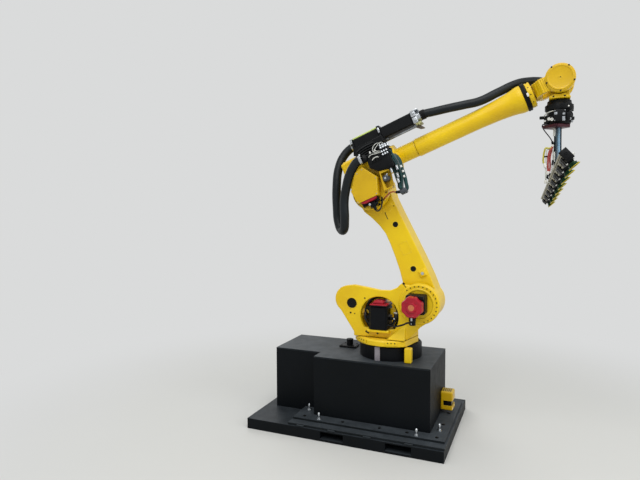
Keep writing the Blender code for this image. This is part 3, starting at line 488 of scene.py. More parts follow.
class Piece:
    """One finished piece, gathered shape by shape in a local frame, in millimetres."""

    def __init__(self, name: str, frame: Matrix, body: Body, unit: float = MM) -> None:
        """Start an empty piece.

        Args:
            name: the piece's name in the scene.
            frame: the local frame in which its shapes are given.
            body: the CAD body that it rides on.
            unit: the length of one unit of its sizes, in metres.
        """
        self.name = name
        self.frame = frame @ Matrix.Scale(unit, 4)
        self.body = body
        self.mesh = bmesh.new()
        self.route: list[Vector] = []

    def take(self, work: bmesh.types.BMesh) -> Piece:
        """Move a finished shape into the piece.

        Args:
            work: the shape, in the piece's frame; it is freed.

        Returns:
            The piece itself.
        """
        holder = bpy.data.meshes.new("holder")
        work.to_mesh(holder)
        work.free()
        self.mesh.from_mesh(holder)
        bpy.data.meshes.remove(holder)
        return self

    def block(self, low: Point, high: Point, bevel: float = 0.0, segments: int = 2,
            turn: tuple[str, float] | None = None) -> Piece:
        """Add a box with rounded edges.

        Args:
            low: the lowest corner.
            high: the highest corner.
            bevel: the edge radius.
            segments: the number of bevel segments.
            turn: an axis letter and an angle in degrees about the box's own middle.

        Returns:
            The piece itself.
        """
        work = bmesh.new()
        bmesh.ops.create_cube(work, size=1.0)
        bmesh.ops.scale(work, vec=[high[i] - low[i] for i in range(3)], verts=work.verts)
        if bevel > 0.0:
            bmesh.ops.bevel(work, geom=work.edges[:], offset=bevel, segments=segments, profile=0.5, affect="EDGES",
                material=-1)
        if turn is not None:
            bmesh.ops.rotate(work, cent=(0, 0, 0), matrix=Matrix.Rotation(math.radians(turn[1]), 3, turn[0]),
                verts=work.verts)
        bmesh.ops.translate(work, vec=[(high[i] + low[i]) / 2 for i in range(3)], verts=work.verts)
        return self.take(work)

    def rod(self, start: Point, end: Point, radius: float, sides: int = 24, bevel: float = 0.0,
            radius_end: float | None = None) -> Piece:
        """Add a round bar or a cone between two points.

        Args:
            start: the middle of one end.
            end: the middle of the other end.
            radius: the radius at the start.
            sides: the number of sides.
            bevel: the radius of the rounded rims.
            radius_end: the radius at the end, or None for the same.

        Returns:
            The piece itself.
        """
        first, last = Vector(start), Vector(end)
        turn = (last - first).to_track_quat("Z", "Y").to_matrix().to_4x4()
        work = bmesh.new()
        bmesh.ops.create_cone(work, cap_ends=True, segments=sides, radius1=radius,
            radius2=radius if radius_end is None else radius_end, depth=(last - first).length)
        if bevel > 0.0:
            rims = [edge for edge in work.edges if any(len(face.verts) > 4 for face in edge.link_faces)]
            bmesh.ops.bevel(work, geom=rims, offset=bevel, segments=2, profile=0.5, affect="EDGES", material=-1)
        bmesh.ops.transform(work, matrix=Matrix.Translation((first + last) / 2) @ turn, verts=work.verts)
        return self.take(work)

    def turned(self, profile: list[Flat], centre: Point, axis: Point, steps: int = 64) -> Piece:
        """Add a turned shape.

        Args:
            profile: radius and height pairs from one end of the axis to the other.
            centre: where the profile's zero height sits.
            axis: the turning axis.
            steps: the number of steps round.

        Returns:
            The piece itself.
        """
        work = bmesh.new()
        points = [work.verts.new((radius, 0.0, height)) for radius, height in profile]
        for first, last in zip(points, points[1:]):
            work.edges.new((first, last))
        bmesh.ops.spin(work, geom=work.verts[:] + work.edges[:], cent=(0, 0, 0), axis=(0, 0, 1), dvec=(0, 0, 0),
            angle=2 * math.pi, steps=steps, use_merge=True)
        bmesh.ops.remove_doubles(work, verts=work.verts, dist=0.01)
        bmesh.ops.recalc_face_normals(work, faces=work.faces)
        turn = Vector(axis).to_track_quat("Z", "Y").to_matrix().to_4x4()
        bmesh.ops.transform(work, matrix=Matrix.Translation(centre) @ turn, verts=work.verts)
        return self.take(work)

    def slab(self, outline: list[Flat], low: float, high: float, bevel: float = 0.0, segments: int = 2) -> Piece:
        """Add a plate with an outline in the frame's X and Z, between two Y places.

        Args:
            outline: the corners in order.
            low: the lower Y.
            high: the higher Y.
            bevel: the edge radius.
            segments: the number of bevel segments.

        Returns:
            The piece itself.
        """
        work = bmesh.new()
        face = work.faces.new([work.verts.new((x, low, z)) for x, z in outline])
        grown = bmesh.ops.extrude_face_region(work, geom=[face])["geom"]
        raised = [item for item in grown if isinstance(item, bmesh.types.BMVert)]
        bmesh.ops.translate(work, vec=(0, high - low, 0), verts=raised)
        bmesh.ops.recalc_face_normals(work, faces=work.faces)
        if bevel > 0.0:
            bmesh.ops.bevel(work, geom=work.edges[:], offset=bevel, segments=segments, profile=0.5, affect="EDGES",
                material=-1)
        return self.take(work)

    def tube(self, route: list[Point], radius: float, steps: int = 8, rings: int = 3) -> Piece:
        """Add a hose or a cable along a smooth route.

        Args:
            route: the points that it passes.
            radius: its outer radius.
            steps: the number of steps between two points.
            rings: the bevel resolution, 3 for 16 sides.

        Returns:
            The piece itself.
        """
        curve = bpy.data.curves.new("route", "CURVE")
        curve.dimensions = "3D"
        curve.bevel_depth = radius
        curve.bevel_resolution = rings
        curve.use_fill_caps = True
        curve.resolution_u = steps
        spline = curve.splines.new("BEZIER")
        spline.bezier_points.add(len(route) - 1)
        for knot, point in zip(spline.bezier_points, route):
            knot.co = point
            knot.handle_left_type = "AUTO"
            knot.handle_right_type = "AUTO"
        for end in (0, -1):
            spline.bezier_points[end].handle_left_type = "VECTOR"
            spline.bezier_points[end].handle_right_type = "VECTOR"
        holder = bpy.data.objects.new("route", curve)
        bpy.context.scene.collection.objects.link(holder)
        bpy.context.view_layer.update()
        graph = bpy.context.evaluated_depsgraph_get()
        mesh = bpy.data.meshes.new_from_object(holder.evaluated_get(graph))
        work = bmesh.new()
        work.from_mesh(mesh)
        bmesh.ops.remove_doubles(work, verts=work.verts, dist=0.01)
        bmesh.ops.recalc_face_normals(work, faces=work.faces)
        self.route = [self.frame @ point for point in sampled(spline.bezier_points, steps)]
        bpy.data.objects.remove(holder, do_unlink=True)
        bpy.data.curves.remove(curve)
        bpy.data.meshes.remove(mesh)
        return self.take(work)

    def stepped(self, outline: list[Flat], centre: Flat, start: float, steps: list[Flat]) -> Piece:
        """Add a moulded cover that rises towards -Y in steps.

        Args:
            outline: the outline in X and Z about the centre.
            centre: the cover's centre in X and Z.
            start: the Y of its back.
            steps: pairs of the next Y and the outline's scale there.

        Returns:
            The piece itself.
        """
        work = bmesh.new()
        face = work.faces.new([work.verts.new((centre[0] + x, start, centre[1] + z)) for x, z in outline])
        scale = 1.0
        back = face
        for place, new_scale in steps:
            grown = bmesh.ops.extrude_face_region(work, geom=[face])["geom"]
            points = [item for item in grown if isinstance(item, bmesh.types.BMVert)]
            if face is not back:
                bmesh.ops.delete(work, geom=[face], context="FACES_ONLY")
            face = next(item for item in grown if isinstance(item, bmesh.types.BMFace))
            for point in points:
                point.co.x = centre[0] + (point.co.x - centre[0]) * new_scale / scale
                point.co.y = place
                point.co.z = centre[1] + (point.co.z - centre[1]) * new_scale / scale
            scale = new_scale
        bmesh.ops.recalc_face_normals(work, faces=work.faces)
        return self.take(work)

    def band(self, centre: Point, axis: Point, inner: float, outer: float, width: float) -> Piece:
        """Add a ring with rounded rims.

        Args:
            centre: the ring's middle.
            axis: its axis.
            inner: its bore's radius.
            outer: its outer radius.
            width: its width along the axis.

        Returns:
            The piece itself.
        """
        half = width / 2
        rim = min(1.5, half / 3, (outer - inner) / 3)
        profile = [(inner, -half), (outer - rim, -half), (outer, rim - half), (outer, half - rim), (outer - rim, half),
            (inner, half), (inner, -half)]
        return self.turned(profile, centre, axis, 48)

    def hose_clip(self, centre: Point, axis: Point, radius: float, width: float, screw_side: Point) -> Piece:
        """Add a worm-drive clip round a hose.

        Args:
            centre: the clip's middle on the hose's centre line.
            axis: the hose's direction.
            radius: the hose's radius.
            width: the band's width.
            screw_side: the way from the centre to the screw housing.

        Returns:
            The piece itself.
        """
        self.band(centre, axis, radius - 1, radius + 1.8, width)
        middle = Vector(centre) + Vector(screw_side).normalized() * (radius + 5)
        along = Vector(axis).cross(Vector(screw_side)).normalized()
        start, end = middle - along * 14, middle + along * 14
        self.rod(tuple(start), tuple(end), 6.5, 16, 1)
        return self.rod(tuple(end), tuple(end + along * 6), 5, 6)

    def screw(self, place: Point, axis: Point, radius: float, height: float) -> Piece:
        """Add a socket head screw that stands on a surface.

        Args:
            place: the middle of the head's underside.
            axis: the way the head points.
            radius: the head's radius.
            height: the head's height.

        Returns:
            The piece itself.
        """
        work = bmesh.new()
        bmesh.ops.create_cone(work, cap_ends=True, segments=18, radius1=radius, radius2=radius * 0.96, depth=height)
        bmesh.ops.translate(work, vec=(0, 0, height / 2), verts=work.verts)
        top = max(work.faces, key=lambda face: face.calc_center_median().z)
        bmesh.ops.inset_region(work, faces=[top], thickness=radius * 0.45)
        grown = bmesh.ops.extrude_face_region(work, geom=[top])["geom"]
        bmesh.ops.translate(work, vec=(0, 0, -height * 0.55),
            verts=[item for item in grown if isinstance(item, bmesh.types.BMVert)])
        bmesh.ops.delete(work, geom=[top], context="FACES_ONLY")
        turn = Vector(axis).to_track_quat("Z", "Y").to_matrix().to_4x4()
        bmesh.ops.transform(work, matrix=Matrix.Translation(place) @ turn, verts=work.verts)
        return self.take(work)

    def hex_bolt(self, place: Point, axis: Point, radius: float, height: float) -> Piece:
        """Add a hexagon head with its washer.

        Args:
            place: the middle of the washer's underside.
            axis: the way the head points.
            radius: the head's radius over its corners.
            height: the head's height.

        Returns:
            The piece itself.
        """
        start = Vector(place)
        way = Vector(axis).normalized()
        washer = start + way * height * 0.2
        self.rod(tuple(start), tuple(washer), radius * 1.25)
        return self.rod(tuple(washer), tuple(washer + way * height), radius, 6, height * 0.08, radius * 0.97)

    def ring_of_screws(self, count: int, pitch_radius: float, centre: Point, axis: Point, radius: float, height: float,
            start: float = 0.0, sweep: float = 360.0) -> Piece:
        """Add socket screws on a pitch circle.

        Args:
            count: how many screws.
            pitch_radius: the pitch circle's radius.
            centre: its middle, on the surface.
            axis: its axis, the way the heads point.
            radius: a head's radius.
            height: a head's height.
            start: the first screw's angle in degrees.
            sweep: the angle that the row covers.

        Returns:
            The piece itself.
        """
        turn = Vector(axis).to_track_quat("Z", "Y").to_matrix()
        for index in range(count):
            angle = math.radians(start + sweep * index / count)
            spot = Vector(centre) + turn @ Vector((pitch_radius * math.cos(angle), pitch_radius * math.sin(angle), 0.0))
            self.screw(tuple(spot), axis, radius, height)
        return self

    def done(self, finish: Finish, replaces: tuple[str, ...] = ()) -> bpy.types.Object:
        """Turn the gathered shapes into a scene piece.

        Args:
            finish: the finish of its surface.
            replaces: the CAD nodes that it stands for.

        Returns:
            The new object.
        """
        faces_smooth(self.mesh)
        bmesh.ops.transform(self.mesh, matrix=self.frame, verts=self.mesh.verts)
        mesh = bpy.data.meshes.new(self.name)
        self.mesh.to_mesh(mesh)
        self.mesh.free()
        item = bpy.data.objects.new(self.name, mesh)
        bpy.context.scene.collection.objects.link(item)
        mesh.materials.append(finish.build())
        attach(item, self.body.value)
        if replaces:
            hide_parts(*replaces)
        LOG.info("%s: %d faces on %s", self.name, len(mesh.polygons), self.body.value)
        return item


class Castings:
    """The iron castings: copies of the CAD solids with their edges rounded as a mould leaves them."""

    def __init__(self, nodes: dict[str, bpy.types.Object]) -> None:
        """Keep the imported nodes.

        Args:
            nodes: node name to its object.
        """
        self.nodes = nodes

    def round_off(self, node: str, body: Body, finish: Finish, voxel: float, rounds: int) -> bpy.types.Object:
        """Copy a node and round its edges.

        Args:
            node: the CAD node.
            body: the body that it rides on.
            finish: the casting's finish.
            voxel: the remesh size in metres.
            rounds: how often the surface is relaxed.

        Returns:
            The new object.
        """
        work = bmesh.new()
        work.from_mesh(self.nodes[node].data)
        bmesh.ops.remove_doubles(work, verts=work.verts, dist=2e-05)
        mesh = bpy.data.meshes.new(node + "_casting")
        work.to_mesh(mesh)
        work.free()
        source = bpy.data.objects.new(node + "_source", mesh)
        bpy.context.scene.collection.objects.link(source)
        remesh = source.modifiers.new("mould", "REMESH")
        remesh.mode = "VOXEL"
        remesh.voxel_size = voxel
        relax = source.modifiers.new("relax", "SMOOTH")
        relax.factor = 0.5
        relax.iterations = rounds
        bpy.context.view_layer.update()
        graph = bpy.context.evaluated_depsgraph_get()
        final = bpy.data.meshes.new_from_object(source.evaluated_get(graph))
        bpy.data.objects.remove(source, do_unlink=True)
        piece = Piece(node + "_casting", Matrix.Identity(4), body, 1.0)
        piece.mesh.from_mesh(final)
        bpy.data.meshes.remove(final)
        return piece.done(finish, (node,))


class NodeDress:
    """Finishes for the CAD nodes that stay as they are."""
    FINISHES: dict[str, Finish] = {name: finish for finish, names in (
        (BLACK_POWDER, "skid_bay riser_walls base_pedestal"),
        (DECK_POWDER, "lower_base_plate flange_plate riser_top"),
        (CAST_ENAMEL, "robot_base base_lug turret_ring balancer_barrel forearm_tube wrist_yoke wrist_housing "
            "turret_casting lower_arm elbow_casting"),
        # base_reducer_housing is black partly as its own paint and partly as painted shade under the turret ring
        (MOTOR_BLACK, "base_reducer_housing shoulder_motor turn_motor_cover elbow_motor tool_changer tool_post"),
        (GREY_PRIMER, "base_side_strip"),
        (BLACK_NYLON, "cable_entry valve_box connector_block retractor_stand retractor_rear retractor_front "
            "retractor_middle_clamp retractor_rear_clamp forearm_ring beam_end_plate"),
        (SHEET_ENAMEL, "scanner_housing motor_guard regulator_bracket"),
        (SMOKED_WINDOW, "scanner_window"),
        (BLACK_OXIDE, "balancer_trunnion"),
        (RED_NYLON, "shoulder_motor_cap turn_motor_cap elbow_motor_cap"),
        (CABLE_VINYL, "motor_cable window_cable"),
        (ZINC, "air_regulator"),
        (TEAL_VINYL, "valve_hose_bundle"),
        (ROLLED_STEEL, "retractor_front_clamp hose_end_clamp"),
        (HOSE_SLEEVE, "hose_loop front_hose"),
        (BLUE_URETHANE, "blue_air_hose"),
        (ANODISED, "gripper_beam")) for name in names.split()}
    ROUNDED: dict[str, float] = {"skid_bay": 3.0, "lower_base_plate": 1.5, "flange_plate": 1.5, "riser_walls": 2.0,
        "riser_top": 2.0, "robot_base": 3.0, "base_lug": 3.0, "base_side_strip": 1.0, "valve_box": 3.0,
        "retractor_stand": 2.0, "retractor_middle_clamp": 1.0, "retractor_rear_clamp": 1.0, "hose_end_clamp": 1.0,
        "regulator_bracket": 1.0, "turret_ring": 2.5}

    def __init__(self, nodes: dict[str, bpy.types.Object]) -> None:
        """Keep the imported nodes.

        Args:
            nodes: node name to its object.
        """
        self.nodes = nodes

    def dress(self) -> None:
        """Give every node its finish, and round the edges of plates and blocks."""
        for name, item in self.nodes.items():
            finish = BLACK_NYLON if name.startswith("pad_block") else self.FINISHES[name]
            item.data.materials.clear()
            item.data.materials.append(finish.build())
            if name in self.ROUNDED:
                self.round_edges(item, self.ROUNDED[name] * MM)
            LOG.info("%s: %s", name, finish.name)

    def round_edges(self, item: bpy.types.Object, radius: float) -> None:
        """Weld the loose triangles and bevel the sharp edges.

        Args:
            item: the node's object.
            radius: the edge radius in metres.
        """
        weld = item.modifiers.new("weld", "WELD")
        weld.merge_threshold = 2e-05
        bevel = item.modifiers.new("edges", "BEVEL")
        bevel.width = radius
        bevel.segments = 2
        bevel.limit_method = "ANGLE"
        bevel.angle_limit = math.radians(50)


@dataclass
class Assembly:
    """A sub-assembly: the arm's frames, the frame of its own sizes, and the body that it rides on."""
    bones: Skeleton
    at: Matrix
    body: Body

    def piece(self, name: str, body: Body | None = None) -> Piece:
        """Start a piece in the sub-assembly's frame, on its own body or another."""
        return Piece(name, self.at, body or self.body)

    def hose(self, name: str, route: list[Point], radius: float, finish: Finish, replaces: tuple[str, ...] = (),
            stiffness: str = "medium", steps: int = 8, rings: int = 3) -> None:
        """Args:
            name: the piece's name.
            route: the points that it passes.
            radius: its outer radius.
            finish: its finish.
            replaces: the CAD nodes that it stands for.
            stiffness: limp, medium or stiff; not used.
            steps: the number of steps between two points.
            rings: the bevel resolution of its round.
        """
        piece = self.piece(name).tube(route, radius, steps, rings)
        piece.done(finish, replaces)


@dataclass
class Riser(Assembly):
    """The riser on its skid: fasteners, studs and small fittings."""
    plate_top: float = 133.7
    skid_top: float = 96
    bolt_rows: tuple[Flat, ...] = ((-690, -430), (-320, -430), (20, -430), (260, -430), (510, -430), (515, -140),
        (515, 140), (-690, 430), (-320, 430), (20, 430), (260, 430), (510, 430))
    studs: tuple[Flat, ...] = ((-711, -277), (-539, -450), (346, -456), (505, -282), (-711, 430), (-539, 450),
        (346, 456), (505, 282))
    tabs: tuple[float, ...] = (-665, -370, -45, 310)

    def build(self) -> None:
        """Build the riser's small pieces."""
        heads = self.piece("flange_plate_bolts")
        for x, y in self.bolt_rows:
            heads.hex_bolt((x, y, self.plate_top - 6), UP, 11.5, 10)
        heads.done(BLACK_OXIDE)
        studs = self.piece("levelling_studs")
        for x, y in self.studs:
            (studs.hex_bolt((x, y, self.plate_top), UP, 17, 12)
                .rod((x, y, self.plate_top + 10), (x, y, self.plate_top + 50), 9, 16, 3)
                .turned([(0, 18), (6, 17), (10.5, 12), (12, 0), (0, 0)], (x, y, self.plate_top + 44), UP, 16))
        studs.done(ZINC)
        tabs = self.piece("plate_edge_tabs")
        for x in self.tabs:
            for side in (-1, 1):
                edge = side * 581
                tabs.block((x - 35, min(edge - 10, edge + 10), self.skid_top),
                    (x + 35, max(edge - 10, edge + 10), self.skid_top + 12), 2)
        tabs.done(DECK_POWDER)
        self.base_details()
        self.scanner_details()

    def base_details(self) -> None:
        """Add the screws round the black housing and on the cable entry."""
        self.piece("reducer_housing_screws").ring_of_screws(16, 262, (0, 0, 809.5), UP, 7, 5, 11.0).done(BLACK_OXIDE)
        entry = self.piece("cable_entry_gland").rod((-441, 102, 740.5), (-441, 102, 752), 36, 8, 2)
        for x in (-505, -385):
            for y in (48, 152):
                entry.screw((x, y, 694.5), UP, 6, 5)
        entry.done(BLACK_NYLON)

    def scanner_details(self) -> None:
        """Add the scanner's screws and the ribs on its top."""
        low, high = (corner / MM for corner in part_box("scanner_housing"))
        plate = self.piece("scanner_screws")
        for y in (low.y + 14, high.y - 14):
            for z in (low.z + 16, high.z - 16):
                plate.screw((high.x - 0.8, y, z), AHEAD, 4.5, 3)
        plate.done(ZINC)
        cap = self.piece("scanner_top_ribs")
        middle = (low.y + high.y) / 2
        for step in range(5):
            x = low.x + 20 + 16 * step
            cap.block((x, middle - 45, high.z - 1), (x + 6, middle + 45, high.z + 3), 1)
        cap.done(BLACK_NYLON)


@dataclass
class Turret(Assembly):
    """The turning casting with its motors and balancer."""
    flange_face: float = -245
    bolt_circle: float = 157
    ring_radius: float = 328
    cap_centre: Flat = (-20, 2)
    cap_start: float = -360.3
    trunnion: Flat = (-617, -28)
    wall: float = -225

    def build(self) -> None:
        """Build the turret's pieces."""
        self.flange()
        self.red_cap()
        self.shoulder_plug()
        self.turn_motor()
        self.window_fittings()
        self.cables()
        self.ring_pads()
        self.balancer()

    def flange(self) -> None:
        """Add the shoulder flange's screws, its raised ring and the stop lug above it."""
        face = self.flange_face
        screws = self.piece("shoulder_flange_screws")
        for index in range(16):
            angle = math.radians(13.5 * index - 72.0)
            screws.screw((self.bolt_circle * math.cos(angle), face, self.bolt_circle * math.sin(angle)), OUT, 5, 4)
        screws.done(BLACK_OXIDE)
        (self.piece("shoulder_flange_step")
            .turned([(122, 0), (140, 0), (140, 4), (136, 7), (126, 7), (122, 4), (122, 0)], (0, face, 0), OUT, 72)
            .done(CAST_ENAMEL))
        (self.piece("shoulder_stop_lug")
            .slab([(-215, 112), (-168, 164), (-157, 172), (-148, 168), (-118, 134), (-132, 108)], -225.5, -178, 5, 3)
            .done(CAST_ENAMEL))
        # A black slab fills the slot beside the stop lug: painted shade in the slot
        (self.piece("shoulder_stop_slot_shade").slab([(-148, 178), (-142, 176), (-108, 136), (-116, 134)], -226.2, -180, 1)
            .done(BLACK_NYLON))

    def red_cap(self) -> None:
        """Model the shoulder motor's red encoder cover with its eight lobes and raised middle."""
        outline = []
        for index in range(64):
            angle = 2 * math.pi * index / 64
            reach = 90.5 - 3.5 * math.cos(8 * angle)
            outline.append((reach * math.cos(angle), reach * math.sin(angle)))
        start = self.cap_start
        cover = self.piece("shoulder_motor_cover").stepped(outline, self.cap_centre, start, [(start - 8, 1.0),
            (start - 10, 0.975), (start - 14, 0.975), (start - 16, 1.0), (start - 60, 0.985), (start - 68, 0.96),
            (start - 74, 0.9), (start - 75, 0.8), (start - 73.5, 0.78), (start - 73.5, 0.5), (start - 76, 0.48),
            (start - 83, 0.455), (start - 86, 0.42), (start - 86, 0.33), (start - 84.5, 0.315)])
        for index in range(4):
            angle = math.radians(90 * index + 45)
            cover.screw((60 * math.cos(angle) + self.cap_centre[0], start - 73.2,
                60 * math.sin(angle) + self.cap_centre[1]), OUT, 4.5, 3)
        cover.done(RED_NYLON, ("shoulder_motor_cap",))
        (self.piece("shoulder_cover_disc")
            .turned([(0, 2.2), (24, 2.2), (26, 0.8), (26, -1), (0, -1)],
                (self.cap_centre[0], start - 84.5, self.cap_centre[1]), OUT, 48).done(TAN_LABEL))

    def shoulder_plug(self) -> None:
        """Add the nuts of the motor's plug and the brake connector at its upper corner."""
        (self.piece("shoulder_plug_nut").block((-43, -358.5, -125), (-27, -350, -98), 3)
            .block((-40, -357, -158), (-34, -350, -142), 2).done(ZINC))
        shell = (self.piece("shoulder_plug_shell").rod((-35, -325, -112), (-35, -325, -134), 29.8, 24, 2)
            .rod((-35, -325, -136), (-35, -325, -168), 29.2, 24, 3, 26))
        for step in range(12):
            angle = math.radians(30 * step)
            x, y = 29 * math.cos(angle), 29 * math.sin(angle)
            shell.rod((-35 + x, -325 + y, -88), (-35 + x, -325 + y, -110), 2.2, 8)
        shell.done(BLACK_NYLON)
        (self.piece("brake_connector").block((22, -392, 66), (72, -359.8, 94), 4, 3)
            .rod((34, -378, 80), (-12, -378, 97), 6, 16, 1).screw((62, -391.8, 80), OUT, 4, 3).done(BLACK_NYLON))
        face = self.piece("shoulder_motor_face_screws")
        for x, z in ((66, 86), (66, -58), (-78, 86), (-78, -58)):
            face.screw((x, -359.8, z), OUT, 6, 5)
        face.done(BLACK_OXIDE)

    def turn_motor(self) -> None:
        """Add the turning motor's rounded ribs, its red lid and the screws of its foot."""
        ribs = self.piece("turn_motor_ribs")
        for low, high in (((-433.5, -291.5, -50), (-266.5, -288.5, -44)), ((-433.5, -291.5, -236),
                (-266.5, -288.5, -228)), ((-433.5, -291.5, -228), (-427.5, -288.5, -50)), ((-272.5, -291.5, -228),
                (-266.5, -288.5, -50))):
            ribs.block(low, high, 1.2)
        for step in range(5):
            z = -205 + 32 * step
            ribs.block((-269.5, -270, z), (-266, -130, z + 5), 1).block((-434, -270, z), (-430.5, -130, z + 5), 1)
        ribs.block((-431, -290, -36.8), (-269, -101, -26.2), 3, 3).done(MOTOR_BLACK)
        (self.piece("turn_motor_lid").block((-428, -287, -26.5), (-272, -105, -14), 3, 3)
            .block((-403, -268, -18), (-309, -128, 10), 9, 4).block((-394, -259, 4), (-318, -137, 16), 8, 4)
            .done(RED_NYLON, ("turn_motor_cap",)))
        screws = self.piece("turn_motor_screws")
        for x in (-418, -287):
            for y in (-276, -118):
                screws.screw((x, y, -14.2), UP, 5, 4)
        screws.screw((-372, self.wall - 1.5, -286), OUT, 8.5, 4).done(BLACK_OXIDE)
        (self.piece("turret_wall_boss")
            .turned([(0, 0), (18, 0), (17, 1.8), (0, 1.8)], (-372, self.wall, -286), OUT, 32).done(CAST_ENAMEL))
        # A thin black block stands for the slot in the wall: painted shade in the slot
        (self.piece("turret_wall_slot")
            .block((-488, self.wall - 0.6, -291), (-450, self.wall + 4, -276), 0.5, 2, ("Y", 28.0)).done(BLACK_NYLON))

    def window_fittings(self) -> None:
        """Add the cable fittings on both sides of the turning motor."""
        black = self.piece("motor_plug_bodies")
        for x, z in ((-432.5, -70), (-432.5, -150)):
            black.block((x - 38, -222, z - 16), (x, -190, z + 16), 5, 3).rod((x - 38, -206, z), (x - 50, -206, z - 4),
                11, 16, 2, 9)
        (black.block((-267.8, -222, -160), (-240, -190, -134), 5, 3)
            .rod((-246, -206, -147), (-230, -206, -150), 12, 16, 2).done(BLACK_NYLON))
        (self.piece("motor_side_brackets").block((-490, -180, -120), (-432.5, -174, -72), 2)
            .block((-267.8, -180, -118), (-214, -174, -60), 2).done(SHEET_ENAMEL))
        # The three black cables of the arch partly stand in for the shade inside the window round the motor
        bundle = self.piece("window_cable_arch")
        for y, lift in ((-155, 0), (-128, -4), (-105, 2)):
            bundle.tube([(-470, y, -245), (-498, y, -190), (-506, y, -130), (-494, y, -60), (-458, y, lift),
                (-410, y, 27 + lift), (-358, y, 33 + lift), (-300, y, 26 + lift), (-250, y, lift), (-222, y, -50),
                (-208, y, -120), (-212, y, -190), (-238, y, -245)], 12, 6, 3)
        bundle.done(CABLE_VINYL)
        pale = self.piece("motor_side_fittings")
        for x, z, radius in ((-206, -98, 7), (-226, -147, 8)):
            pale.rod((x, -212, z), (x, -180, z), radius, 16, 2).rod((x, -216, z), (x, -212, z), radius * 0.6, 12, 1)
        (pale.block((-232, -196, -104), (-206, -180, -92), 3).block((-240, -200, -152), (-226, -184, -142), 3)
            .done(WHITE_NYLON))

    def cables(self) -> None:
        """Lay the two cables that hang at the motors."""
        self.hose("shoulder_motor_lead", [(-63.5, -325, -150), (-76, -325, -150), (-112, -322, -168),
            (-162, -315, -186), (-212, -302, -196), (-252, -278, -196), (-267.7, -275, -196)], 8, CABLE_VINYL,
            ("motor_cable",))
        self.hose("turn_motor_lead", [(-267.7, -195, -212), (-255, -195, -212), (-226, -195, -170), (-216, -195, -115),
            (-228, -120, -90), (-280, -70, -104), (-420, -70, -122), (-482, -110, -105), (-497, -190, -120),
            (-484, -200, -180), (-450, -195, -208), (-432.3, -195, -208)], 13, CABLE_VINYL, ("window_cable",))

    def ring_pads(self) -> None:
        """Add the raised pads on the ring's edge, each with three screws."""
        pads = Piece("turret_ring_pads", self.bones.world, Body.TURRET)
        screws = Piece("turret_ring_screws", self.bones.world, Body.TURRET)
        for middle, pitch, half in ((233.5, 6.1, 62), (285.8, 5.4, 55), (126.5, 6.1, 62), (74.2, 5.4, 55),
                (180.0, 6.1, 62)):
            angle = math.radians(middle)
            x, y = self.ring_radius * math.cos(angle), self.ring_radius * math.sin(angle)
            pads.block((x - 5, y - half, 828.5), (x + 4, y + half, 864.5), 3, 3, ("Z", middle))
            for step in (-1, 0, 1):
                turn = math.radians(middle + pitch * step)
                reach = (self.ring_radius + 3.5) / math.cos(turn - angle)
                screws.screw((reach * math.cos(turn), reach * math.sin(turn), 852),
                    (math.cos(angle), math.sin(angle), 0), 5.5, 3)
        pads.done(CAST_ENAMEL)
        screws.done(BLACK_OXIDE)

    def balancer(self) -> None:
        """Add the trunnion's end caps with their rims and the small plugs of the wall."""
        caps = self.piece("trunnion_caps")
        rims = self.piece("trunnion_rims")
        x, z = self.trunnion
        for side in (-1, 1):
            caps.turned([(0, 5), (4, 5), (6, 3), (30, 3), (38, 4.2), (42, 3.5), (44.5, 0), (0, 0)],
                (x, side * 222.2, z), (0, side, 0), 48)
            rims.turned([(47, 0), (53, 0), (52.2, 2.2), (48, 2.2), (47, 0)], (x, side * 224.8, z), (0, side, 0), 48)
        caps.done(BLACK_NYLON)
        rims.done(CAST_ENAMEL)
        small = self.piece("wall_hole_plugs")
        for x, z, radius in ((-628, -117, 8.5), (-589, -123, 5.5), (-493, 24, 6.5)):
            small.screw((x, -224.8, z), OUT, radius, 2)
        small.done(BLACK_OXIDE)


@dataclass
class LowerArm(Assembly):
    """The lower arm's plugs, raised frame, slot and small bosses."""
    near_face: float = -150
    holes: tuple[Flat, ...] = ((64, 723), (53, 300))

    def build(self) -> None:
        """Build the lower arm's small pieces."""
        frame = self.bones.lower_arm
        face = self.near_face
        rims = Piece("arm_hole_rims", frame, Body.LOWER_ARM)
        plugs = Piece("arm_hole_plugs", frame, Body.LOWER_ARM)
        for b, a in self.holes:
            rims.turned([(25, 0), (33.5, 0), (32.5, 2.2), (26, 2.2), (25, 0)], (b + 5, face, a), OUT, 48)
            plugs.turned([(0, -0.2), (8, -0.2), (10, 1), (22.5, 1), (24.6, 0.2), (24.6, -0.2)], (b + 5, face - 0.4, a),
                OUT, 48)
        rims.done(CAST_ENAMEL)
        # The black strip on the raised slab stands for the arm's slot: painted shade in the slot
        (plugs.screw((122, face + 0.2, 880), OUT, 5, 2).block((20, face - 0.6, 795), (28, face + 2, 862), 0.5)
            .done(BLACK_NYLON))
        marks = Piece("arm_raised_frame", frame, Body.LOWER_ARM)
        for low, high in (((22, 440), (106, 445.5)), ((22, 546.5), (106, 552)), ((22, 445.5), (27.5, 546.5)),
                ((100.5, 445.5), (106, 546.5))):
            marks.block((low[0], face - 1.8, low[1]), (high[0], face + 1, high[1]), 0.8)
        marks.slab([(18, 790), (32, 790), (34, 866), (20, 872)], face - 0.5, face + 1, 0.2)
        for b, a, radius in ((100, 905, 15), (70, 860, 12)):
            marks.turned([(0, 1.6), (radius * 0.85, 1.6), (radius, 0), (0, 0)], (b, face, a), OUT, 32)
        marks.done(CAST_ENAMEL)
        Piece("arm_stop_screw", frame, Body.LOWER_ARM).hex_bolt((121.5, -170, 233.5), OUT, 11, 8).done(ZINC)


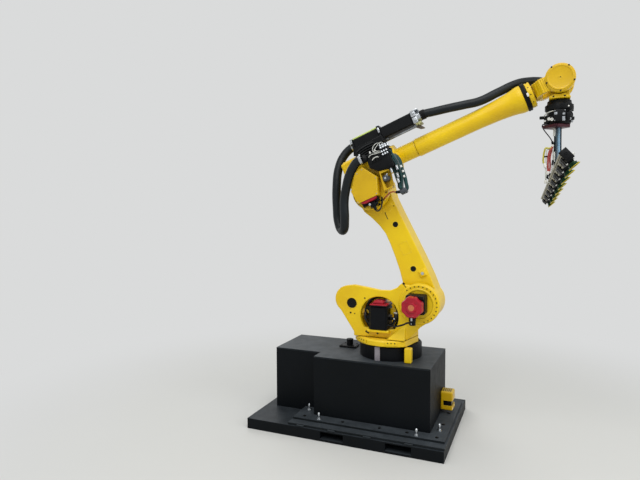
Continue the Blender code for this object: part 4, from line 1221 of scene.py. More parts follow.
@dataclass
class Elbow(Assembly):
    """The elbow's motor cover, valve gear and the hose retractor on top."""
    hub_face: float = -255
    valve_face: float = -345
    loop_route: tuple[Point, ...] = ((-28.3, -100, 464), (-50, -100, 464), (-138, -122, 425), (-215, -163, 335),
        (-292, -203, 165), (-357, -210, -10), (-391, -215, -130), (-380, -248, -215), (-335, -300, -225),
        (-290, -332, -165), (-217, -345, 10), (-161, -350, 97), (-98, -350, 182), (-37, -348, 237), (20, -345, 268),
        (43.5, -345, 268))
    hose_radius: float = 40

    def build(self) -> None:
        """Build the elbow's pieces."""
        self.motor()
        self.hub_details()
        self.valves()
        self.strands()
        self.regulator()
        self.retractor()
        self.front_clamp()
        self.hose_loop()

    def motor(self) -> None:
        """Add the red cover, its fitting and the plug below it."""
        outline = []
        for index in range(60):
            angle = 2 * math.pi * index / 60
            round_square = 1.0 / (abs(math.cos(angle)) ** 5 + abs(math.sin(angle)) ** 5) ** 0.2
            outline.append((77 * round_square * math.cos(angle), 79 * round_square * math.sin(angle)))
        (self.piece("elbow_motor_cover")
            .stepped(outline, (-13, -18), -310.3, [(-330, 1.0), (-333, 0.985), (-336, 0.985), (-338, 1.0),
                (-345, 0.99), (-350, 0.93)]).done(RED_NYLON, ("elbow_motor_cap",)))
        (self.piece("elbow_plug_fittings").rod((-16, -334, -120), (-16, -346, -120), 10.5, 20, 2)
            .rod((-16, -346, -120), (-16, -350, -120), 6.5, 6, 1).done(ZINC))
        (self.piece("elbow_plug_shells").rod((10, -318, -149), (10, -318, -182), 15.5, 20, 2, 13)
            .rod((30, -312, -128), (52, -312, -128), 15, 20, 2, 12).block((34, -306, -112), (66, -272, -62), 4, 3)
            .done(BLACK_NYLON))
        self.hose("elbow_motor_lead", [(10, -318, -180), (12, -316, -190), (26, -300, -194), (44, -280, -180),
            (60, -266, -156), (72, -262, -132), (82, -258, -100), (84, -250, -90)][::-1], 6.5, CABLE_VINYL)

    def hub_details(self) -> None:
        """Add the hub's screws and dark plugs and the guard's screws."""
        screws = self.piece("elbow_hub_screws")
        for index in range(14):
            angle = math.radians(360 * index / 14 + 205)
            u, n = 150 * math.cos(angle), 150 * math.sin(angle)
            if n < 20:
                screws.screw((u, self.hub_face, n), OUT, 6, 5)
        screws.done(BLACK_OXIDE)
        plugs = self.piece("elbow_hub_plugs")
        for u, n in ((71, -118), (44, -141)):
            plugs.screw((u, self.hub_face + 0.2, n), OUT, 9.5, 3)
        plugs.done(BLACK_NYLON)
        guard = self.piece("guard_screws")
        for u, n in ((-20, 170), (34, 186), (-118, 60), (120, 70), (78, -58), (-104, -62)):
            guard.screw((u, -359.8, n), OUT, 4.5, 2)
        guard.done(ZINC)

    def valves(self) -> None:
        """Add the valve box's lid, valves, connector cluster and thin tubing."""
        face = self.valve_face
        lid = self.piece("valve_box_lid").slab([(163, 132), (253, 112), (298, 112), (298, 273), (112, 273), (112, 176)],
            face - 4, face + 1, 2)
        for step in range(4):
            u = 126 + 27 * step
            lid.block((u, face - 11, 196), (u + 20, face - 3, 250), 3)
        lid.block((238, -330, 285.5), (318, -253, 290), 1).done(BLACK_NYLON)
        (self.piece("cable_tray")
            .slab([(20, 262), (70, 255), (98, 270), (98, 288), (292, 288), (292, 344), (262, 412), (0, 412),
                (-20, 352), (10, 330)], -252, -240.5, 3)
            .slab([(0, 350), (236, 350), (236, 412.5), (0, 412.5)], -240.5, -160.5, 4).done(BLACK_NYLON))
        leads = self.piece("cable_tray_leads")
        for step in range(5):
            rise = 300 + 20 * step
            leads.tube([(12, -245, rise - 20), (22, -258, rise - 14), (80, -262, rise),
                (150, -260 - 3 * (step % 2), rise + 4), (225, -262, rise - 2), (262, -256, rise - 6),
                (270, -246, rise - 6)], 7.5, 6, 2)
        leads.done(CABLE_VINYL)
        cluster = self.piece("connector_cluster")
        for row in range(2):
            for step in range(4):
                u, y = 246 + 22 * step, -312 + 34 * row
                cluster.rod((u, y, 285.5), (u, y, 303), 9.8, 6, 1).rod((u, y, 304), (u, y, 330 - 4 * step), 7.2, 16, 2)
        for row in range(2):
            for step in range(3):
                u, n = 252 + 21 * step, 222 + 26 * row
                cluster.rod((u, face - 0.3, n), (u + 3, face - 18, n + 4), 8.8, 6, 1).rod((u + 3, face - 18, n + 4),
                    (u + 5, face - 26, n + 8), 6.2, 16, 1)
        cluster.done(ZINC)
        self.hose("thin_tubing_1", [(251, -308, 322), (251, -308, 338), (236, -322, 346), (205, -336, 336),
            (184, -350, 306), (190, -359, 280), (212, -359, 268), (232, -358, 272)][::-1], 2.6, CLEAR_URETHANE, rings=2)
        self.hose("thin_tubing_2", [(277, -308, 320), (277, -308, 334), (262, -330, 338), (226, -346, 318),
            (204, -358, 292), (214, -361, 278), (232, -361, 268), (246, -362, 262)][::-1], 2.4, CLEAR_URETHANE, rings=2)
        self.hose("thin_tubing_3", [(128, -349, 258), (136, -356, 262), (160, -360, 268), (192, -359, 262),
            (228, -359, 256), (242, -362, 252), (250, -366, 250)], 3.4, CLEAR_URETHANE, rings=2)
        self.hose("thin_tubing_4", [(150, -356, 222), (158, -360, 226), (180, -361, 232), (202, -360, 230),
            (210, -356, 224)], 4.5, CLEAR_URETHANE, rings=2)
        small = self.piece("valve_box_fittings")
        for u, y, n in ((149, -330, 286), (172, -300, 286), (196, -330, 286)):
            small.rod((u, y, n), (u, y, n + 13), 8.5, 16, 2).rod((u, y, n + 13), (u, y, n + 22), 5.5, 12, 1)
        small.done(WHITE_NYLON)

    def strands(self) -> None:
        """Fill out the bundle beside the valve box with its single hoses and fittings."""
        self.hose("valve_main_hose", [(310.3, -300, 195), (325, -300, 195), (350, -297, 160), (348, -292, 60),
            (335, -285, -60), (310, -278, -120), (283, -272, -95), (275, -268, -20), (280, -268, 80),
            (280, -268, 99.7)], 16, TEAL_VINYL, ("valve_hose_bundle",))
        plans = ((-10, -322, 8.5, 240, 6, TEAL_VINYL), (2, -312, 8, 215, -4, GREY_VINYL),
            (-18, -286, 9, 262, 4, CABLE_VINYL), (-26, -300, 8.5, 180, 0, TEAL_VINYL),
            (-34, -312, 7.5, 150, -4, CABLE_VINYL), (-20, -326, 7, 200, -6, TEAL_VINYL))
        for index, (shift, y, radius, top, lean, finish) in enumerate(plans):
            self.hose("valve_strand_%d" % (index + 1), [(308, y, top), (318, y, top), (332 + shift, y + 2, top - 35),
                (340 + shift, y + 4, 110), (334 + shift + lean, y + 6, 40), (322 + shift + lean, y + 8, -30),
                (300 + shift, y + 10, -78), (292 + shift / 2, y + 12, -100)], radius, finish)
        silver = self.piece("strand_fittings")
        for u, y, n in ((318, -330, 76), (300, -334, 12), (266, -330, 72), (288, -330, -30)):
            silver.rod((u, y, n - 16), (u + 3, y, n + 16), 10.5, 18, 2).rod((u + 3, y, n + 14), (u + 4, y, n + 24),
                12.5, 6, 1)
        silver.done(ZINC)
        white = self.piece("strand_ties")
        for u, y, n in ((352, -306, 78), (352, -304, 34), (344, -302, -10)):
            white.block((u - 8, y - 12, n - 9), (u + 8, y + 10, n + 9), 3)
        white.done(WHITE_NYLON)
        block = self.piece("strand_manifold").block((262, -312, -142), (322, -262, -100), 5, 3)
        for step in range(3):
            block.rod((274 + 18 * step, -287, -142), (274 + 18 * step, -287, -150), 7, 16, 1)
        block.done(DIE_CAST_ZINC)
        self.piece("manifold_plug").rod((264, -294, -118), (224, -300, -106), 14, 20, 3, 12).done(BLACK_NYLON)
        self.hose("red_sensor_lead", [(238, -299, -107), (222, -301, -104), (208, -304, -94), (176, -308, -92),
            (146, -306, -104), (128, -300, -110), (112, -285, -112), (100, -262, -114), (98, -252, -114)][::-1], 5.8,
            RED_URETHANE, rings=2)

    def regulator(self) -> None:
        """Model the round pressure regulator with its dial and knob."""
        (self.piece("regulator_body")
            .turned([(0, 0), (27, 0), (27, 30), (25.5, 33), (25.5, 37), (27, 40), (27, 70), (25.5, 74), (22, 76.5),
                (20, 76.5), (19.5, 74.5), (0, 74.5)], (196, -268.3, 35), OUT, 48)
            .done(DIE_CAST_ZINC, ("air_regulator",)))
        (self.piece("regulator_knob").rod((196, -342.5, 35), (196, -350, 35), 11, 24, 2, 10)
            .rod((210, -330, 56), (222, -330, 68), 7.5, 16, 2).done(ZINC))

    def retractor(self) -> None:
        """Add the lime strip, the clips and the screws of the hose retractor."""
        self.piece("retractor_lime_strip").block((-1, -146.5, 514.2), (241, -93.5, 526.8), 2.5, 3).done(LIME_TAPE)
        clips = self.piece("retractor_clips")
        for u, low, high in ((244, 396, 410), (244, 462, 508), (-28.5, 478, 514), (-28.5, 404, 416)):
            clips.block((u, -170, low), (u + 18, -160, high), 3).screw((u + 9, -169.8, (low + high) / 2), OUT, 5, 4)
        clips.block((239.5, -160, 525.5), (266, -60, 533), 3).block((-33, -150, 519.5), (-6, -60, 526.5), 3).done(ZINC)
        cover = self.piece("retractor_end_frames")
        for u in (-9.5, 238.5, 260.8, 553.5):
            low, high = (414.5, 513.5) if u < 250 else (400.5, 504.5)
            (cover.block((u, -156.5, low), (u + 6, -43.5, low + 5), 1)
                .block((u, -156.5, high - 5), (u + 6, -43.5, high + 1.2), 1)
                .block((u, -157.2, low), (u + 6, -152.5, high), 1))
        cover.done(BLACK_NYLON)
        screws = self.piece("retractor_screws")
        for u in (30, 120, 205, 300, 410, 520):
            for n in (428, 500) if u < 250 else (414, 491):
                screws.screw((u, -154.8, n), OUT, 4.2, 2)
        screws.done(BLACK_OXIDE)

    def front_clamp(self) -> None:
        """Model the clamp at the retractor's mouth with its collar, rail and brackets."""
        clamp = (self.piece("front_clamp_halves").block((560.3, -162, 456), (605, -38, 510), 6, 3)
            .block((560.3, -162, 396), (605, -38, 452), 6, 3).block((566, -166, 500), (632, -60, 513), 3))
        for n in (420, 486):
            clamp.hex_bolt((583, -161.8, n), OUT, 9, 6)
        clamp.band((616, -100, 452), AHEAD, 37.5, 46, 32).done(ZINC, ("retractor_front_clamp",))
        (self.piece("retractor_rail").block((262, -116, 376), (586, -109, 388), 1)
            .block((262, -91, 376), (586, -84, 388), 1).block((250, -120, 386), (300, -80, 400.5), 2)
            .block((545, -120, 386), (590, -80, 396.5), 2).done(ROLLED_STEEL))
        (self.piece("clamp_bracket").block((575, -158, 380), (626, -60, 396.5), 3)
            .block((600, -158.5, 366), (612, -146, 384), 2).done(OLIVE_CHROMATE))
        (self.piece("clamp_gusset").slab([(556, 376), (600, 381), (628, 342), (622, 337), (590, 345)], -118, -82, 2)
            .done(BROWN_STEEL))

    def hose_loop(self) -> None:
        """Model the hanging hose loop, its end sleeves and its clips."""
        hose = self.piece("hose_loop_sleeve")
        route = hose.tube(list(self.loop_route), self.hose_radius, 14, 6).route
        item = hose.done(HOSE_SLEEVE, ("hose_loop",))
        (self.piece("hose_loop_clips").hose_clip((-38.5, -100, 464), AHEAD, self.hose_radius, 15, (0, -1, 0.6))
            .done(ROLLED_STEEL))
        (self.piece("hose_end_band").band((55.9, -345, 268), AHEAD, 39.5, 44, 24.2)
            .block((44.5, -307.5, 250), (67.3, -245.8, 286), 3).block((44.5, -390.5, 250), (67.3, -385, 284), 2)
            .hex_bolt((55.9, -345, 311), UP, 9, 6).done(ZINC, ("hose_end_clamp",)))
        self.piece("hose_end_stub").rod((66, -345, 268), (99.5, -330, 262), 38.5, 32, 4, 34).done(BLACK_NYLON)


@dataclass
class Forearm(Assembly):
    """The forearm's cast tube, black ring, wrist yoke covers, the hose along it and their screws."""
    core: float = 76
    cover_bolts: tuple[float, ...] = (56.0, 128.0, 200.0, 272.0, 344.0)
    hose_radius: float = 37
    hose_start: tuple[Point, ...] = ((632.3, -100, 452), (660, -100, 452), (740, -100, 434), (876, -95, 403),
        (1000, -80, 374))
    hose_finish: tuple[Point, ...] = ((-616, -55, 352), (-454, 0, 364), (-288, 70, 376), (-196, 130, 362),
        (-137, 165, 342), (-85, 189, 314), (-65, 189, 303))

    def build(self) -> None:
        """Build the forearm's pieces."""
        self.tube()
        self.yoke_details()
        self.covers()
        self.wrist_hose()

    def tube(self) -> None:
        """Turn the cast tube with its lip over the elbow's snout, and the black ring."""
        reach = self.bones.reach
        core = self.core
        (self.piece("forearm_tube_casting")
            .turned([(0, 490), (core + 1, 490), (core + 1, 486.5), (core + 4.5, 486.5), (core + 6, 489),
                (core + 6.5, 502), (core + 5, 540), (core + 4, reach - 730), (core + 5.5, reach - 640),
                (core + 10, reach - 530), (core + 14.5, reach - 465), (core + 20, reach - 410),
                (core + 29, reach - 360), (core + 35, reach - 335), (core + 37, reach - 318), (core + 37, reach - 292),
                (core + 34, reach - 290), (0, reach - 290)], (0, 0, 0), AHEAD, 96).done(CAST_ENAMEL, ("forearm_tube",)))
        (self.piece("forearm_seal_ring")
            .turned([(0, reach - 289.7), (112, reach - 289.7), (119, reach - 286), (119.5, reach - 277.5),
                (117, reach - 275.5), (117, reach - 270), (119.5, reach - 268), (119, reach - 259), (112, reach - 255),
                (0, reach - 255)], (0, 0, 0), AHEAD, 96).done(BLACK_NYLON, ("forearm_ring",)))
        (self.piece("ring_fitting").block((reach - 266, -123.5, -26), (reach - 250, -116.5, 4), 2)
            .block((reach - 262, 116.5, -12), (reach - 252, 122.5, 12), 2).done(WHITE_NYLON))

    def yoke_details(self) -> None:
        """Add the yoke's flange screws and the ribs on its arms."""
        reach = self.bones.reach
        screws = self.piece("yoke_flange_screws")
        for index in range(10):
            angle = math.radians(36 * index + 9)
            screws.screw((reach - 216.2, 90 * math.cos(angle), 90 * math.sin(angle)), AHEAD, 6,
                4).screw((reach - 236, 105.8 * math.cos(angle), 105.8 * math.sin(angle)),
                (0, math.cos(angle), math.sin(angle)), 5, 1.5)
        screws.done(BLACK_OXIDE)
        ribs = self.piece("yoke_arm_ribs")
        for step in range(6):
            place = reach - 202 + 16.5 * step
            slant = min(1, max(0, (place - reach + 205) / 50))
            face = 70 + 75 * slant
            for side in (-1, 1):
                near, far = side * (face - 12), side * (face + 4.5)
                ribs.block((place, min(near, far), -60), (place + 7, max(near, far), 60), 2.5)
        ribs.done(CAST_ENAMEL)

    def covers(self) -> None:
        """Add the round gear covers on both sides of the wrist."""
        reach = self.bones.reach
        cover = self.piece("wrist_gear_covers")
        screws = self.piece("wrist_cover_screws")
        pins = self.piece("wrist_cover_centres")
        rise = math.degrees(math.atan2(self.at[2][0], self.at[0][0]))
        for side in (-1, 1):
            centre = (reach, side * 150, 0)
            cover.turned([(0, 7.5), (4, 7.5), (5.5, 9.5), (14, 10), (15.5, 8.5), (80, 8.5), (86, 10), (88.5, 12),
                (95, 12), (97.5, 10), (100, 7), (107, 6), (110, 3.5), (110.5, -2), (0, -2)], centre, (0, side, 0), 96)
            pins.rod((reach, side * 157, 0), (reach, side * 158.5, 0), 3.6, 16)
            for angle in self.cover_bolts:
                turn = math.radians(angle - rise)
                screws.screw((reach + 104.5 * math.cos(turn), side * 156, 104.5 * math.sin(turn)), (0, side, 0), 6.2, 6)
        cover.done(SHEET_ENAMEL)
        screws.done(BLACK_OXIDE)
        pins.done(BLACK_OXIDE)

    def wrist_hose(self) -> None:
        """Model the hose from the retractor to the wrist; it curves from the elbow to the forearm and rides on no body.
        """
        reach = self.bones.reach
        at = self.bones.elbow
        hose = Piece("wrist_hose_sleeve", at, Body.ELBOW)
        stops = list(self.hose_start) + [(reach + u, y, n) for u, y, n in self.hose_finish]
        route = hose.tube(stops, self.hose_radius, 12, 6).route
        item = hose.done(HOSE_SLEEVE, ("front_hose",))
        item.parent = None
        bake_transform(item)
        (Piece("wrist_hose_collar", at, Body.ELBOW)
            .band((653, -100, 451.5), (1, 0, -0.05), self.hose_radius - 1, self.hose_radius + 6, 40).done(BLACK_NYLON))
        (Piece("wrist_hose_entry", at, Body.FOREARM)
            .hose_clip((reach - 73, 189, 307.2), (0.876, 0, -0.482), self.hose_radius, 14, (0, 1, 0.2))
            .band((reach - 68.5, 189, 305), (0.876, 0, -0.482), 34, 40.5, 10)
            .block((reach - 90, 149, 262), (reach - 50, 181, 292), 4).done(ROLLED_STEEL))


@dataclass
class WristHead(Assembly):
    """The wrist housing's screws and the tool changer below it."""
    skirt_face: float = -112

    def build(self) -> None:
        """Build the wrist's and the changer's pieces."""
        self.neck()
        self.changer()
        self.plate()
        self.fittings()

    def neck(self) -> None:
        """Add the screws of the housing's skirt."""
        screws = self.piece("wrist_skirt_screws", Body.WRIST)
        for side in (-1, 1):
            for x in (-46, 36):
                screws.screw((x, side * abs(self.skirt_face) - side * 0.5, -136.5), (0, side, 0), 6.5, 3)
        screws.done(BLACK_OXIDE)
        (self.piece("wrist_skirt_lip", Body.WRIST).block((-78.5, -113.5, -148.2), (78.5, 113.5, -142.5), 2)
            .done(CAST_ENAMEL))

    def changer(self) -> None:
        """Turn the changer's two halves with their grooves and locking ring."""
        body = self.piece("changer_halves").turned([(0, -150.5), (60, -150.5), (60, -155), (85, -155.5), (88.5, -158),
            (90, -162), (90, -167.5), (88.5, -169), (88.5, -171), (90.5, -173), (94, -186), (101, -189), (105.5, -192),
            (106.5, -198), (105, -200), (105, -204), (106.8, -206), (106.8, -229), (105, -232.5), (93, -238.5),
            (91.5, -241), (90, -253), (90.5, -256), (95, -260.5), (95.8, -263), (95.8, -274), (94, -276), (94, -279),
            (95.8, -281), (95.8, -300), (92, -320), (84, -342), (74, -345.5), (0, -345.5)], (0, 0, 0), UP, 72)
        for middle in (200.0, 262.0, 320.0, 20.0, 80.0, 140.0):
            angle = math.radians(middle)
            x, y = 101 * math.cos(angle), 101 * math.sin(angle)
            body.block((x - 7.5, y - 17, -238.5), (x + 7.5, y + 17, -193.5), 3, 2, ("Z", middle))
        (body.block((-40, -125, -335), (45, -85, -240), 5, 3).block((-146, -26, -292), (-85, 13, -270), 6, 3)
            .block((80, -20, -312), (112, 20, -288), 4, 3).block((-112, -60, -334), (-70, 50, -296), 4, 3)
            .block((60, -50, -334), (82, 60, -300), 4, 3).block((-88, -98, -330), (-42, -72, -286), 4, 3)
            .block((47, -98, -318), (78, -60, -262), 4, 3).done(BLACK_NYLON, ("tool_changer",)))
        screws = self.piece("changer_screws")
        for x, z in ((-34, -250), (39, -250), (-34, -326), (39, -326)):
            screws.screw((x, -124.8, z), OUT, 3.5, 2)
        screws.done(ZINC)

    def plate(self) -> None:
        """Add the adapter plate under the changer, set with one corner to the front."""
        plate = Piece("adapter_plate", frame_from(self.bones.wrist_point, Vector(AHEAD), Vector(UP), Vector(OUT)),
            Body.TOOL)
        corners = [(-121, -10), (-121, 12), (-34, 97), (-6, 97), (82, 12), (82, -10), (-6, -97), (-34, -97)]
        plate.slab(corners, -369.8, -345, 3).done(MAROON_ANODISED)
        self.piece("adapter_neck").rod((-20, 0, -335), (-20, 0, -346), 70, 64, 2).done(BLACK_NYLON)

    def fittings(self) -> None:
        """Add the changer's valves, white push-in fittings and short tubes."""
        (self.piece("changer_grey_valves").block((22, -131, -287), (40, -124.5, -271), 2)
            .block((20, -131, -333), (40, -124.5, -299), 2).block((-38, -131, -282), (-16, -124.5, -262), 2)
            .rod((81, -10, -322), (102, -10, -326), 8.5, 18, 2).rod((70, -70, -306), (84, -80, -314), 9, 18, 2)
            .done(GREY_NYLON))
        white = self.piece("changer_white_fittings")
        for x, z, radius in ((-76, -309, 11.5), (-54, -313, 12.5)):
            white.turned([(0, 4), (radius * 0.45, 4), (radius * 0.45, 10), (radius * 0.9, 10), (radius, 8),
                (radius, -2), (0, -2)], (x, -98.5, z), OUT, 24)
        (white.rod((-104, -59, -318), (-104, -72, -318), 7.5, 16, 2)
            .rod((64, -84.5, -214), (66, -92.5, -214), 6, 16, 1).done(WHITE_NYLON))
        self.hose("changer_short_tubes", [(-104, -14, -282), (-108, -30, -279), (-106, -62, -270), (-86, -88, -258),
            (-58, -97, -249), (-46, -96, -247), (-40, -90, -246)], 4, CLEAR_URETHANE, rings=2)
        self.hose("changer_black_tubes", [(62, -66, -262), (66, -78, -250), (84, -92, -262), (94, -90, -282),
            (92, -82, -300), (89, -80, -304)], 4.5, CABLE_VINYL, rings=2)


@dataclass
class Tool(Assembly):
    """The bar with its pads and the hoses that hang between it and the changer."""
    pads: int = 8
    end_margin: float = 70
    half_width: float = 27
    half_depth: float = 33.5
    under_changer: float = -370

    def build(self) -> None:
        """Build the tool's pieces."""
        self.bar()
        self.end_cap()
        self.cups()
        self.supply()
        self.side_hoses()

    def bar(self) -> None:
        """Extrude the bar's grooved profile."""
        frame = self.bones.bar
        columns = [frame.to_3x3().col[i] for i in range(3)]
        turned = frame_from(frame.translation, columns[1], columns[0], -columns[2])
        wide, deep = self.half_width, self.half_depth
        groove, depth = 4.2, 5.5
        right = []
        for middle in (-16.5, 16.5):
            right += [(wide, middle - groove), (wide - depth, middle - groove), (wide - depth, middle + groove),
                (wide, middle + groove)]
        top = [(groove, deep), (groove, deep - depth), (-groove, deep - depth), (-groove, deep)]
        outline = [(wide, -deep + 3)] + right + [(wide, deep - 3), (wide - 3, deep)] + top
        outline += [(-wide + 3, deep), (-wide, deep - 3)] + [(-x, -z) for x, z in right]
        outline += [(-wide, -deep + 3), (-wide + 3, -deep)] + [(-x, -z) for x, z in top] + [(wide - 3, -deep)]
        (Piece("grooved_bar", turned, Body.TOOL).slab(outline, 0, self.bones.bar_length)
            .done(ANODISED, ("gripper_beam",)))

    def end_cap(self) -> None:
        """Model the bar's end plate with its boss, screws and raised edge."""
        frame = self.bones.bar
        (Piece("bar_end_cap", frame, Body.TOOL).block((-7.5, -29, -38), (-0.3, 29, 44), 2)
            .block((-11.5, -26.5, -35.5), (-7, 26.5, 30), 2)
            .turned([(0, 0), (11, 0), (10, 3.5), (6, 4), (4.5, 2), (0, 2)], (-11.2, 4, -6), (-1, 0, 0), 32)
            .done(BLACK_NYLON, ("beam_end_plate",)))
        screws = Piece("bar_end_screws", frame, Body.TOOL)
        for y in (-20, 20):
            for z in (-29, 23):
                screws.screw((-11.3, y, z), (-1, 0, 0), 3.8, 2)
        screws.done(BLACK_OXIDE)

    def cups(self) -> None:
        """Model the pad holders, the green cups, their yellow lips and white fittings."""
        frame = self.bones.bar
        holders = Piece("pad_holders", frame, Body.TOOL)
        cups = Piece("green_cups", frame, Body.TOOL)
        lips = Piece("yellow_lips", frame, Body.TOOL)
        plates = Piece("pad_side_plates", frame, Body.TOOL)
        fittings = Piece("pad_fittings", frame, Body.TOOL)
        deep, wide = self.half_depth, self.half_width
        names = []
        for index in range(self.pads):
            x = self.end_margin + (self.bones.bar_length - 2 * self.end_margin) * index / (self.pads - 1)
            names.append("pad_block_%d" % (index + 1))
            start, end = max(12, x - 80), min(self.bones.bar_length - 4, x + 80)
            plates.block((start, -36, -6), (end, -wide - 0.2, deep + 12), 3, 2).block((start, -30, deep + 0.2),
                (end, 22, deep + 12), 3, 2)
            for step in (-55, 55):
                if start < x + step < end:
                    plates.screw((x + step, -35.8, 16), OUT, 5.5, 3)
            (holders.block((x - 22.5, -40, deep + 0.3), (x + 22.5, 24, deep + 15), 3, 2)
                .block((x - 18, -22, deep + 14), (x + 18, 22, deep + 23), 3, 2)
                .block((x - 21, -38.5, 2), (x + 21, -wide - 0.3, deep + 12), 3, 2))
            cups.turned([(0, deep + 21), (20, deep + 21), (22.5, deep + 23), (22.5, deep + 27), (32, deep + 31),
                (33, deep + 34), (28.5, deep + 37), (29, deep + 39), (37.5, deep + 45), (40, deep + 49.5),
                (38.5, deep + 50), (0, deep + 44)], (x, 1, 0), UP, 40)
            lips.turned([(37.5, deep + 48.5), (40, deep + 48.5), (42.2, deep + 50.8), (42.5, deep + 52.5),
                (41.5, deep + 52.8), (37.5, deep + 50), (37.5, deep + 48.5)], (x, 1, 0), UP, 48)
            fittings.rod((x - 22.5, -26, deep + 10), (x - 34, -30, deep + 14), 6.8, 16,
                1.5).rod((x + 6, 23.5, deep + 8), (x + 6, 37, deep + 4), 7.2, 16, 1.5)
        fittings.rod((12, 26.5, 24), (12, 44, 24), 8, 16, 1.5)
        holders.done(BLACK_NYLON, tuple(names))
        plates.done(BLACK_NYLON)
        cups.done(GREEN_CUP)
        lips.done(YELLOW_CUP)
        fittings.done(WHITE_NYLON)

    def supply(self) -> None:
        """Model the post and the supply hoses beside it."""
        top = self.under_changer - 0.3
        (self.piece("post_tube").rod((-28.5, 0, top), (-28.5, 0, -742), 6, 32)
            .block((-66, -50, -775), (-8, 50, -735), 3, 3).block((-40, -9, -737), (-19, 9, -700), 3, 3)
            .done(MOTOR_BLACK, ("tool_post",)))
        (self.piece("post_white_sleeve").rod((-31, 0, top), (-31, 0, -434), 10.5, 32, 1)
            .rod((-25, -3, -560), (-25, -3, -640), 7, 24, 1).done(WHITE_NYLON))
        self.hose("light_blue_hose", [(1, -2, top), (1, -2, -390), (1, -4, -480), (3, -8, -580), (1, -6, -690),
            (1, -6, -719)], 10.5, BLUE_URETHANE, ("blue_air_hose",), steps=10, rings=5)
        self.hose("dark_teal_hose", [(-17.5, -3, top), (-17.5, -3, -390), (-17.2, -6, -480), (-16, -10, -580),
            (-18, -8, -690), (-19, -8, -730)], 8, DARK_TEAL_URETHANE, steps=10, rings=4)
        self.hose("black_supply_hose", [(16.5, 4, top), (16.5, 4, -390), (17, 2, -480), (18, -2, -580), (14, -2, -680),
            (9, 0, -725)], 5.2, CABLE_VINYL, steps=10)
        seat = Piece("hose_seat", self.bones.bar, Body.TOOL)
        middle = self.bones.bar_length / 2
        seat.block((middle - 40, 4, -49), (middle + 40, 26.5, -33.5), 4).done(BLACK_NYLON)

    def side_hoses(self) -> None:
        """Model the sensor cable, its plug and the coloured hoses behind the bar."""
        self.hose("sensor_cable", [(-110, 0, -330), (-123.5, 0, -340), (-112, 0, -375), (-98, 0, -397), (-80, 0, -422),
            (-65, 0, -443), (-52, 0, -466), (-45.5, 0, -478)], 4.2, CABLE_VINYL, rings=2)
        (self.piece("sensor_plug").rod((-47, 0, -474), (-43, 0, -500), 8.5, 20, 2)
            .block((-44, -6, -496), (-22, 6, -482), 2).rod((-106, 0, -596), (-76, 0, -596), 7.5, 16, 2)
            .done(BLACK_NYLON))
        (self.piece("side_hose_fittings").rod((-43, 0, -500), (-42, 0, -528), 8.5, 20, 1)
            .rod((-104, 0, -650), (-94, 0, -686), 11.5, 20, 2).rod((-73, 0, -716), (-74, 0, -744), 11, 20, 2)
            .rod((-91, 0, -788), (-90, 0, -814), 11, 20, 2).rod((-90, 0, -806), (-52, 0, -806), 6.5, 16, 1)
            .done(WHITE_NYLON))
        self.hose("yellow_side_hose", [(-44, 0, -514), (-52, 0, -524), (-72, 0, -530), (-92, 0, -526), (-104, 0, -552),
            (-110, 0, -593), (-112, 0, -630), (-108, 0, -650)], 7.5, YELLOW_URETHANE, steps=10)
        self.hose("red_side_hoses_1", [(-44, -4, -518), (-50, -4, -534), (-62, -4, -548), (-71, -4, -575),
            (-76, -2, -640), (-75, 0, -700), (-73, 0, -720)], 8, RED_URETHANE, steps=10)
        self.hose("red_side_hoses_2", [(-42, 4, -520), (-44, 5, -540), (-54, 6, -565), (-61, 6, -610), (-59, 6, -680),
            (-64, 4, -716), (-70, 2, -734)], 6.8, RED_URETHANE, steps=10)
        self.hose("milky_side_hoses_3", [(-56, 0, -529), (-72, 2, -538), (-84, 0, -540), (-88, 0, -560)], 4.2,
            CLEAR_URETHANE, rings=2)
        self.hose("milky_side_hoses_1", [(-86, 0, -545), (-88, 0, -560), (-91.5, 0, -596), (-91.5, 0, -680),
            (-91, 0, -760), (-91, 0, -792)][::-1], 5.8, CLEAR_URETHANE, rings=2)
        self.hose("milky_side_hoses_2", [(-42, 0, -518), (-40, -2, -545), (-39, -4, -596), (-41, -4, -640),
            (-46, 0, -700), (-54, 4, -764), (-56, 4, -780)], 5.2, CLEAR_URETHANE, rings=2)
        (self.piece("side_hose_sleeves").rod((-74, 0, -742), (-80, 0, -772), 8, 18, 2)
            .rod((-80, 0, -770), (-56, 0, -784), 7, 16, 1).rod((-40, -4, -626), (-44, -2, -668), 7, 18, 2)
            .done(CABLE_VINYL))


